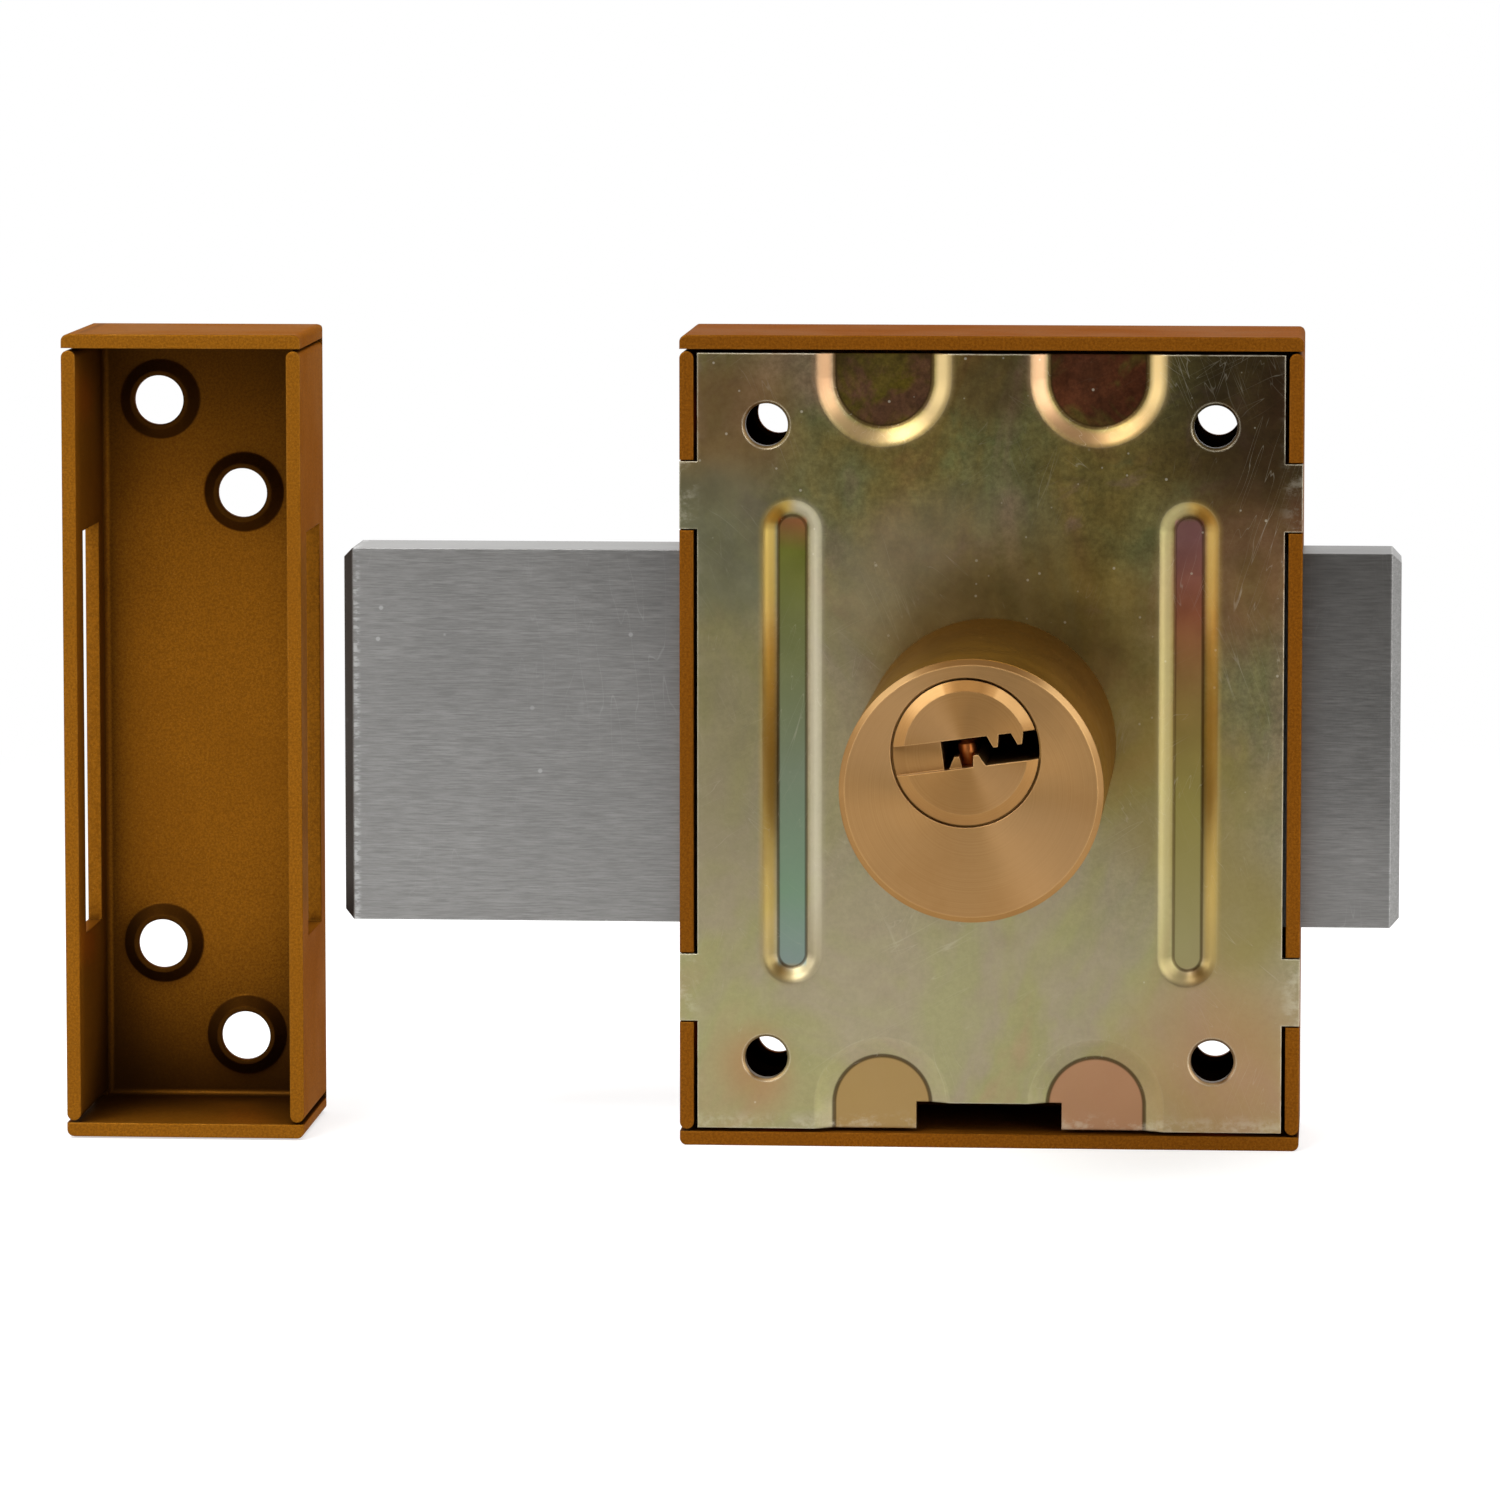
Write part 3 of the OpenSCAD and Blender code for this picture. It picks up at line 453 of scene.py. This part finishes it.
        # Painted sheen on the flanks, partly chromate colour, toned down on the lower flanks
        flank = self.mix(outward, self.sides(*INNER_FLANK_SHEEN), self.sides(*OUTER_FLANK_SHEEN))
        flank = self.mix(self.fade(self.z, -34 * MM, -16 * MM, 0.85), flank, LOW_FLANK)
        past_floor = self.grow(out, GROOVE_FLOOR + 0.1 * MM, GROOVE_FLOOR + 0.8 * MM)
        on_flank = self.fade(out, GROOVE_FLOOR + 1.4 * MM, GROOVE_FLOOR + 2.8 * MM, 0.6)
        tone = self.mix(self.times(past_floor, on_flank), tone, flank)
        # Painted shade in the crease round the groove floor
        crease = self.fade(self.absolute(self.minus(out, GROOVE_FLOOR)), 0.08 * MM, 0.3 * MM, 0.7)
        return tone, crease

    def lands(self, tone):
        """Mottled dark floors with shoulders above that carry painted sheen, partly chromate colour, and
        plain rosy floors below.
        """
        side = self.minus(self.absolute(self.x), LAND_X)
        inward = self.most(self.minus(LAND_END, self.absolute(self.z)), 0.0)
        out = self.length(side, inward)
        land = self.fade(out, LAND_FLOOR - 0.2 * MM, LAND_FLOOR + 0.1 * MM, 0.92)
        fleck = self.times(self.grow(self.film, 0.44, 0.56), 0.75)
        dark = self.mix(fleck, self.sides(*UPPER_LAND), self.sides(*LAND_FLECK))
        dark = self.mix(1.0, dark, self.blotch, "MULTIPLY")
        dark = self.mix(1.0, dark, self.speck, "MULTIPLY")
        tone = self.mix(land, tone, self.mix(self.upper, self.sides(*LOWER_LAND), dark))
        past_floor = self.grow(out, LAND_FLOOR + 0.1 * MM, LAND_FLOOR + 1.1 * MM)
        on_shoulder = self.fade(out, LAND_FLOOR + 1.4 * MM, LAND_FLOOR + 3.4 * MM, 0.85)
        from_centre = self.minus(self.x, self.times(self.math("SIGN", self.x), LAND_X))
        rightwards = self.grow(from_centre, -5 * MM, 5 * MM)
        # Painted sheen on the upper shoulders, partly chromate colour, toned down at their feet
        sheen = self.mix(rightwards, self.sides(*LEFT_SHOULDER_SHEEN), self.sides(*RIGHT_SHOULDER_SHEEN))
        sheen = self.mix(self.grow(inward, 1 * MM, 7 * MM, 0.75), sheen, self.sides(*SHOULDER_FOOT_SHEEN))
        tone = self.mix(self.times(past_floor, on_shoulder, self.upper), tone, sheen)
        # Painted shade in the crease round the land floor
        rim = self.minus(out, LAND_FLOOR + 0.05 * MM)
        crease = self.fade(self.absolute(rim), 0.12 * MM, 0.4 * MM, 0.85)
        return tone, crease, land

    def scuffs(self, rounded):
        """Worn edges of the door face, and rubbed tabs and lower edge."""
        proud = self.times(self.edge_mask(rounded, 6.0), self.fade(self.y, 0.4 * MM, 0.7 * MM))
        worn = self.times(proud, self.grow(self.noise(self.place, scale=420, detail=4.0), 0.3, 0.5))
        tabs = self.grow(self.absolute(self.x), 36.5 * MM, 39.5 * MM)
        lower_edge = self.fade(self.z, -49.9 * MM, -47.5 * MM)
        streaks = self.noise(self.stretch((0.7, 1, 1)), scale=420, detail=5.0, rough=0.7)
        rubbed = self.times(self.most(tabs, lower_edge), self.grow(streaks, 0.46, 0.64, 0.45))
        return self.most(worn, rubbed)

    def hairlines(self, land):
        """Crossing hairline scratches on all but the floors of the lands."""
        hair = self.scratches(scale=760, thin=0.006, turn=0.7, spread=14)
        for scale, turn in ((640, -0.5), (820, 1.9), (700, 1.2)):
            hair = self.most(hair, self.scratches(scale, thin=0.006, turn=turn, spread=14))
        return self.times(hair, self.flip(land))


def chromated(name, seat):
    """Yellow chromate on zinc: rainbow clouds, tinted pressings, hairlines and scuffed pale edges, with
    painted shade, sheen and reflections.
    """
    plate = Chromate(name)
    tone = plate.blooms(plate.clouds(), seat)
    tone, groove_crease = plate.grooves(tone)
    tone, land_crease, land = plate.lands(tone)
    # Painted shade in the creases round all floors
    tone = plate.mix(plate.most(groove_crease, land_crease), tone, CREASE_SHADE)
    rounded = plate.soft_edges(0.3 * MM)
    hair = plate.hairlines(land)
    faint = plate.plus(plate.times(plate.patchy, 0.16), 0.14)
    marks = plate.most(plate.times(plate.scuffs(rounded), 0.8), plate.times(hair, faint))
    small = plate.times(plate.nicks(scale=620, size=0.14, rare=0.82), plate.upward)
    nick = plate.most(plate.nicks(scale=300, size=0.07, rare=0.8), small)
    marks = plate.most(marks, plate.times(nick, 0.6))
    grain = plate.noise(plate.place, scale=2600, rough=0.65)
    stain = plate.noise(plate.place, scale=130, detail=5.0, rough=0.65)
    height = plate.minus(plate.times(grain, 0.6), plate.times(hair, 0.8))
    plate.set(
        Base_Color=plate.mix(marks, tone, BARE_ZINC),
        Metallic=0.9,
        Roughness=plate.span(stain, 0.3, 0.75, 0.29, 0.4),
        Normal=plate.bump(height, 0.12, 0.03 * MM, rounded),
    )
    return plate.material


# Noise scales of a brushed surface along and across its fine streaks and its broad ones
BRUSH_GRAIN = (260, 5200, 5200)
BROAD_GRAIN = [v * 0.22 for v in BRUSH_GRAIN]
# Height either side of the middle over which the bolt's painted shade grows upwards
DULL_HEIGHT = 26 * MM
# Painted shade that dulls the bolt towards its right end and top, and the tone of its darker left chamfer
SHADED_STEEL = srgb(72, 70, 67)
LEFT_CHAMFER_TONE = srgb(58, 50, 42)


def brushed(name, base, streak, rough, edge_tone=None, ends=None):
    """Brushed bar stock: short fine streaks, a few scratches and bright edges."""
    steel = Shader(name)
    edge_tone = edge_tone or base
    lines = steel.noise(steel.stretch(BRUSH_GRAIN), scale=1.0, detail=4.0, rough=0.75)
    broad = steel.noise(steel.stretch(BROAD_GRAIN), scale=1.0, rough=0.6)
    cloud = steel.noise(steel.place, scale=45)
    tone = steel.mix(steel.grow(lines, 0.3, 0.7), streak, base)
    tone = steel.mix(steel.grow(broad, 0.35, 0.7, 0.35), tone, streak)
    rounded = steel.soft_edges(0.25 * MM)
    hair = steel.scratches(scale=420, thin=0.006, turn=1.5, spread=9)
    hair = steel.most(hair, steel.scratches(scale=520, thin=0.006, turn=1.8, spread=9))
    dents = steel.nicks(scale=240, size=0.09, rare=0.66)
    tone = steel.mix(steel.most(steel.times(hair, 0.22), steel.times(dents, 0.5)), tone, edge_tone)
    ragged = steel.noise(steel.stretch((1, 1, 2.5)), scale=700, detail=4.0, rough=0.7)
    ragged = steel.span(ragged, 0.35, 0.6, 0.2, 0.9)
    tone = steel.mix(steel.times(steel.edge_mask(rounded, 5.0), ragged), tone, edge_tone)
    if ends:
        tone = bolt_ends(steel, tone, edge_tone, *ends)
    low, high = rough
    cloudy = steel.span(cloud, 0.3, 0.7, -0.03, 0.05)
    steel.set(
        Base_Color=tone,
        Metallic=1.0,
        Roughness=steel.plus(steel.span(lines, 0.3, 0.7, low, high), cloudy),
        Normal=steel.bump(steel.minus(lines, hair), 0.14, 0.02 * MM, rounded),
    )
    return steel.material


def bolt_ends(steel, tone, edge_tone, left, right):
    """Painted shade that dulls the bolt towards its right end and the top, with a darker left chamfer and
    a bright burr beside it.
    """
    run = steel.span(steel.x, left + 0.3 * MM, right - 0.7 * MM, smooth=False)
    upwards = steel.span(steel.z, -DULL_HEIGHT, DULL_HEIGHT, 0.25, 0.82)
    before_chamfer = steel.span(steel.x, right - 1.5 * MM, right - 1.1 * MM, 1.0, 0.2)
    dull = steel.times(steel.math("POWER", run, 0.75), upwards, before_chamfer)
    tone = steel.mix(dull, tone, SHADED_STEEL)
    tone = steel.mix(steel.fade(steel.x, left + 1.0 * MM, left + 1.4 * MM, 0.85), tone, LEFT_CHAMFER_TONE)
    burr = steel.grow(steel.x, left + 1.2 * MM, left + 1.4 * MM)
    burr = steel.times(burr, steel.fade(steel.x, left + 1.6 * MM, left + 2.4 * MM, 0.7))
    comb = steel.noise(steel.stretch((0.3, 1, 1)), scale=1500, rough=0.7)
    return steel.mix(steel.times(burr, steel.grow(comb, 0.45, 0.6)), tone, edge_tone)


# A bevel's painted light: its inner radius, half the width of the arc of painted shade at its top, which
# fades from near to wide, the strength of the painted highlight beside that arc, and the painted shade of
# its right side. Widths are shares of the radius.
Bevel = namedtuple("Bevel", "radius near wide gleam dull_right")
# How far right of the top the arc of painted shade has its middle, as such a share
ARC_MIDDLE = 0.06
# How far the painted highlight wedges across a face are turned from upright
WEDGE_TURN = math.radians(50)
# Colours of the painted highlight wedges and of the painted shade on bevels
WEDGE_HIGHLIGHT = srgb(204, 162, 114)
BEVEL_SHADE = srgb(112, 78, 40)
BRASS_TINT = srgb(232, 186, 120)


def turned(name, base, deep, bright, rough, axis=None, bevel=None, side=None):
    """Lathe-turned brass: fine rings about an axis, faint tarnish clouds, painted highlights along edges,
    painted light on bevels, and a side painted darker.
    """
    brass = Shader(name)
    cloud = brass.noise(brass.place, scale=130, detail=4.0, rough=0.6)
    speck = brass.noise(brass.place, scale=1900, detail=2.0)
    if axis:
        rings = brass.plus(brass.reach(*axis), brass.y)
        lines = brass.line_noise(rings, scale=5200, detail=4.0, rough=0.7)
        brass.set(Tangent=brass.round_grain(), Anisotropic=0.75)
    else:
        lines = brass.noise(brass.stretch((3200, 240, 240), (0, 0.5, 0)), scale=1.0, rough=0.65)
    tone = brass.mix(brass.grow(lines, 0.3, 0.72, 0.4), base, deep)
    tone = brass.mix(brass.grow(cloud, 0.42, 0.72, 0.35), tone, deep)
    rounded = brass.soft_edges(0.2 * MM)
    # Painted highlight along all edges
    tone = brass.mix(brass.times(brass.edge_mask(rounded, 4.0), 0.5), tone, bright)
    if bevel:
        tone = painted_bevel_light(brass, tone, bright, axis, bevel)
    # The side is painted darker: partly tarnish, partly painted shade for its dark reflections
    if side:
        start, tarnish = side
        fleck = brass.times(brass.nicks(scale=620, size=0.14, rare=0.8), 0.5)
        behind = brass.grow(brass.y, start, start + 0.4 * MM, 0.85)
        tone = brass.mix(behind, tone, brass.mix(fleck, tarnish, bright))
    hair = brass.scratches(scale=900, thin=0.014, turn=0.4)
    height = brass.minus(brass.plus(lines, brass.times(speck, 0.4)), hair)
    low, high = rough
    brass.set(
        Base_Color=tone,
        Metallic=0.9,
        Specular_Tint=BRASS_TINT,
        Roughness=brass.span(cloud, 0.3, 0.7, low, high),
        Normal=brass.bump(height, 0.1, 0.02 * MM, rounded),
    )
    return brass.material


def painted_bevel_light(brass, tone, bright, axis, bevel):
    """Painted light round a bevel: arcs of painted shade and of painted highlight, and two painted
    highlight wedges across the face inside it.
    """
    out = brass.reach(*axis)
    across = brass.math("DIVIDE", brass.minus(brass.x, axis[0]), out)
    up = brass.math("DIVIDE", brass.minus(brass.z, axis[1]), out)
    beside = brass.absolute(brass.minus(across, ARC_MIDDLE))
    dull = brass.most(brass.fade(beside, bevel.near, bevel.wide, 0.9), brass.grow(beside, 0.8, 1.05, 0.3))
    dull = brass.most(dull, brass.grow(across, 0.35, 0.85, bevel.dull_right))
    dull = brass.times(dull, brass.grow(up, -0.2, 0.3))
    dull = brass.most(dull, brass.fade(up, -0.35, 0.3, 0.2))
    gleam = brass.fade(beside, 0.75, 0.98, bevel.gleam)
    gleam = brass.times(gleam, brass.grow(beside, bevel.near + 0.2, bevel.wide), brass.grow(up, 0.2, 0.6))
    on_bevel = brass.grow(out, bevel.radius - 0.04 * MM, bevel.radius + 0.04 * MM)
    along = brass.times(across, -math.sin(WEDGE_TURN))
    along = brass.plus(along, brass.times(up, math.cos(WEDGE_TURN)))
    wedges = brass.times(brass.grow(brass.times(along, along), 0.6, 1.0, 0.28), brass.flip(on_bevel))
    tone = brass.mix(wedges, tone, WEDGE_HIGHLIGHT)
    tone = brass.mix(brass.times(dull, on_bevel), tone, BEVEL_SHADE)
    return brass.mix(brass.times(gleam, on_bevel), tone, bright)


def middle(low, high):
    """Middle of a box in x and z."""
    return ((low.x + high.x) / 2, (low.z + high.z) / 2)


drive_axis = middle(*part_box("cylinder_plug"))
body_axis = middle(*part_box("cylinder_body"))
keep_low, keep_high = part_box("keep_box")
bolt_low, bolt_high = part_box("bolt")

# The keep's sheet, and its screw dimples, which get rings of painted shade: places from its middle in
# millimetres, and outer radius of each ring
SHEET = 1.8 * MM
DIMPLES = ((-6.1, 42.2), (4.9, 30), (-6.1, -30), (4.9, -42.2))
DIMPLE_RADIUS = 5.35 * MM
keep_middle = middle(keep_low, keep_high)[0]
keep_dimples = [(keep_middle + x * MM, z * MM, DIMPLE_RADIUS) for x, z in DIMPLES]

# Colours of the finishes, in the order in which their functions take them
# The enamels' last colour is the painted shade of corners, dimples and one inner wall
CASE_ENAMEL = (srgb(130, 77, 17), srgb(106, 61, 12), srgb(164, 112, 42), srgb(28, 14, 5))
KEEP_ENAMEL = (srgb(142, 89, 20), srgb(117, 71, 15), srgb(174, 124, 50), srgb(56, 32, 7))
BAR_STEEL = (srgb(157, 156, 154), srgb(129, 128, 126))
MILL_STEEL = (srgb(160, 160, 158), srgb(132, 132, 132))
BRIGHT_PLATE = (srgb(200, 197, 188), srgb(178, 174, 164))
BAR_EDGE = srgb(196, 196, 195)
BRIGHT_BRASS = srgb(226, 184, 126)
BRASS = (srgb(164, 126, 80), srgb(143, 105, 61), BRIGHT_BRASS)
PLUG_BRASS = (srgb(157, 117, 70), srgb(139, 101, 56), BRIGHT_BRASS)
RED_BRASS = (srgb(196, 120, 62), srgb(168, 92, 42), srgb(230, 170, 110))

# Painted light on the bevels of the cylinder's face, and the y from which its side is painted darker,
# partly tarnish and partly painted shade, with the colour
BODY_BEVEL = Bevel(radius=15.55 * MM, near=0.24, wide=0.58, gleam=0.4, dull_right=0.0)
PLUG_BEVEL = Bevel(radius=7.6 * MM, near=0.16, wide=0.42, gleam=0.25, dull_right=0.65)
BODY_SIDE = (-53.2 * MM, srgb(134, 106, 50))

bronze = painted("bronze_enamel", *CASE_ENAMEL)
keep_bronze = painted("keep_enamel", *KEEP_ENAMEL, keep_dimples, wall=keep_low.x + SHEET)
zinc = chromated("yellow_chromate", body_axis)
bar = brushed("brushed_steel", *BAR_STEEL, (0.33, 0.42), BAR_EDGE, ends=(bolt_low.x, bolt_high.x))
inner_steel = brushed("mill_steel", *MILL_STEEL, (0.36, 0.48))
plated = brushed("nickel_plate", *BRIGHT_PLATE, (0.33, 0.4))
body_brass = turned("turned_brass", *BRASS, (0.36, 0.46), body_axis, BODY_BEVEL, BODY_SIDE)
plug_brass = turned("plug_brass", *PLUG_BRASS, (0.36, 0.46), drive_axis, PLUG_BEVEL)
bush_brass = turned("bush_brass", *BRASS, (0.33, 0.43), drive_axis)
satin_brass = turned("satin_brass", *BRASS, (0.3, 0.42))
pin_brass = turned("pin_brass", *RED_BRASS, (0.29, 0.36))

FINISH = {
    "case_shell": bronze,
    "keep_box": keep_bronze,
    "guide_rivets": bronze,
    "back_plate": zinc,
    "bolt": bar,
    "bolt_guide_upper": inner_steel,
    "bolt_guide_lower": inner_steel,
    "bearing_bridge": inner_steel,
    "tail_bar": inner_steel,
    "tail_pin": inner_steel,
    "plug_circlip": inner_steel,
    "pin_springs": inner_steel,
    "turn_grub_screw": inner_steel,
    "drive_pinion": plated,
    "bridge_screws": plated,
    "bush_nut": plated,
    "turn_washer": plated,
    "cylinder_screws": plated,
    "front_bush": bush_brass,
    "thumb_turn": satin_brass,
    "cylinder_body": body_brass,
    "cylinder_plug": plug_brass,
    "driver_pins": satin_brass,
    "chamber_caps": satin_brass,
    "key_pins": pin_brass,
}
for name, finish in FINISH.items():
    mesh = nodes[name].data
    mesh.materials.clear()
    mesh.materials.append(finish)

# Size of the floor, and the distances from the origin between which it goes over into plain white
FLOOR_REACH = 12.0
WHITE_FROM = 0.15
WHITE_PAST = 0.5
# Floor and background as other rays see them, and the two parts of the floor near the object
FLOOR_GREY = 0.8
WORLD_GREY = 0.5
SHADOW_GREY = 0.6
FLOOR_GLOW = 0.55


def by_ray(tree, lit, shown):
    """One shader for what the camera and reflections see, the other one for all other rays."""
    path = new_node(tree, "LightPath")
    seen = path.outputs["Is Camera Ray"]
    for ray in ("Is Glossy Ray", "Is Transmission Ray"):
        either = new_node(tree, "Math", seen, path.outputs[ray])
        either.operation = "MAXIMUM"
        seen = either.outputs[0]
    return new_node(tree, "MixShader", seen, lit.outputs[0], shown.outputs[0]).outputs[0]


def pale_floor():
    """White paper with soft shadows near the object."""
    material = bpy.data.materials.new("pale_floor")
    material.use_nodes = True
    tree = material.node_tree
    tree.nodes.clear()
    matt = new_node(tree, "BsdfDiffuse", Color=grey(FLOOR_GREY))
    shadow = new_node(tree, "BsdfDiffuse", Color=grey(SHADOW_GREY))
    glow = new_node(tree, "Emission", Strength=FLOOR_GLOW)
    near = new_node(tree, "AddShader", glow.outputs[0], shadow.outputs[0])
    white = new_node(tree, "Emission")
    distance = new_node(tree, "VectorMath", new_node(tree, "NewGeometry").outputs["Position"])
    distance.operation = "LENGTH"
    away = new_node(tree, "MapRange", distance.outputs["Value"], WHITE_FROM, WHITE_PAST, 0.0, 1.0)
    away.interpolation_type = "SMOOTHSTEP"
    paper = new_node(tree, "MixShader", away.outputs[0], near.outputs[0], white.outputs[0])
    new_node(tree, "OutputMaterial", by_ray(tree, matt, paper))
    return material


def rectangle(name, corners, material):
    mesh = bpy.data.meshes.new(name)
    mesh.from_pydata(corners, [], [(0, 1, 2, 3)])
    mesh.materials.append(material)
    obj = bpy.data.objects.new(name, mesh)
    scene.collection.objects.link(obj)
    return obj


floor_z = min(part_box("case_shell")[0].z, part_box("keep_box")[0].z)
floor_signs = ((-1, -1), (1, -1), (1, 1), (-1, 1))
floor_corners = [(x * FLOOR_REACH, y * FLOOR_REACH, floor_z) for x, y in floor_signs]
floor = rectangle("floor", floor_corners, pale_floor())

# White background that lights the object as a grey one
world = bpy.data.worlds.new("studio")
scene.world = world
world.use_nodes = True
sky = world.node_tree
sky.nodes.clear()
dim = new_node(sky, "Background", Color=grey(WORLD_GREY))
white = new_node(sky, "Background", Color=grey(1))
new_node(sky, "OutputWorld", by_ray(sky, dim, white))

# Dark studio cards that only reflections show
CARD_GREY = 0.02


def card(name, foot, top, foot_y, top_y, top_z):
    """A card that stands on the floor, with the x of its ends at the foot and at the top."""
    cloth = bpy.data.materials.new(name)
    cloth.use_nodes = True
    skin = cloth.node_tree.nodes["Principled BSDF"]
    skin.inputs["Base Color"].default_value = grey(CARD_GREY)
    skin.inputs["Roughness"].default_value = 1.0
    corners = [(x, foot_y, floor_z) for x in foot] + [(x, top_y, top_z) for x in reversed(top)]
    obj = rectangle(name, corners, cloth)
    obj.visible_camera = False
    obj.visible_diffuse = False
    obj.visible_shadow = False


card("front_flag", foot=(-0.13, 0.26), top=(-0.15, 0.26), foot_y=-0.52, top_y=-0.56, top_z=0.26)
card("side_flag", foot=(0.02, 0.19), top=(0.02, 0.19), foot_y=-0.28, top_y=-0.31, top_z=0.14)


def lamp(name, place, aim, size, power):
    """A soft lamp that looks at a point."""
    data = bpy.data.lights.new(name, "AREA")
    data.shape = "RECTANGLE"
    data.size, data.size_y = size
    data.energy = power
    obj = bpy.data.objects.new(name, data)
    obj.location = place
    obj.rotation_euler = (Vector(aim) - Vector(place)).to_track_quat("-Z", "Y").to_euler()
    scene.collection.objects.link(obj)


lamp("key", place=(-0.5, -0.75, 1.05), aim=(-0.03, 0, 0), size=(0.7, 0.7), power=12.4)
lamp("fill", place=(0.85, -1.1, 0.25), aim=(0, 0, 0), size=(0.8, 0.8), power=7)
lamp("back", place=(0.2, 0.9, 1.1), aim=(0, 0, 0), size=(0.9, 0.6), power=9)
lamp("left", place=(-0.95, -0.35, 0.45), aim=(0, 0, 0.1), size=(0.4, 0.9), power=2.6)
lamp("right", place=(0.95, -0.35, 0.45), aim=(0, 0, 0.1), size=(0.4, 0.9), power=2.6)

# Camera at the photograph's viewing angle
CAMERA_PLACE = (46.7 * MM, -1100 * MM, 119.1 * MM)
CAMERA_DOWN = 6.215
CAMERA_LEFT = 4.035
lens = bpy.data.cameras.new("camera")
lens.sensor_width = 36
lens.lens = 206.6
lens.clip_start = 0.05
lens.clip_end = 40
camera = bpy.data.objects.new("camera", lens)
camera.location = CAMERA_PLACE
camera.rotation_euler = Euler((math.radians(90 - CAMERA_DOWN), 0, math.radians(CAMERA_LEFT)))
scene.collection.objects.link(camera)
scene.camera = camera
scene.view_settings.view_transform = "Standard"
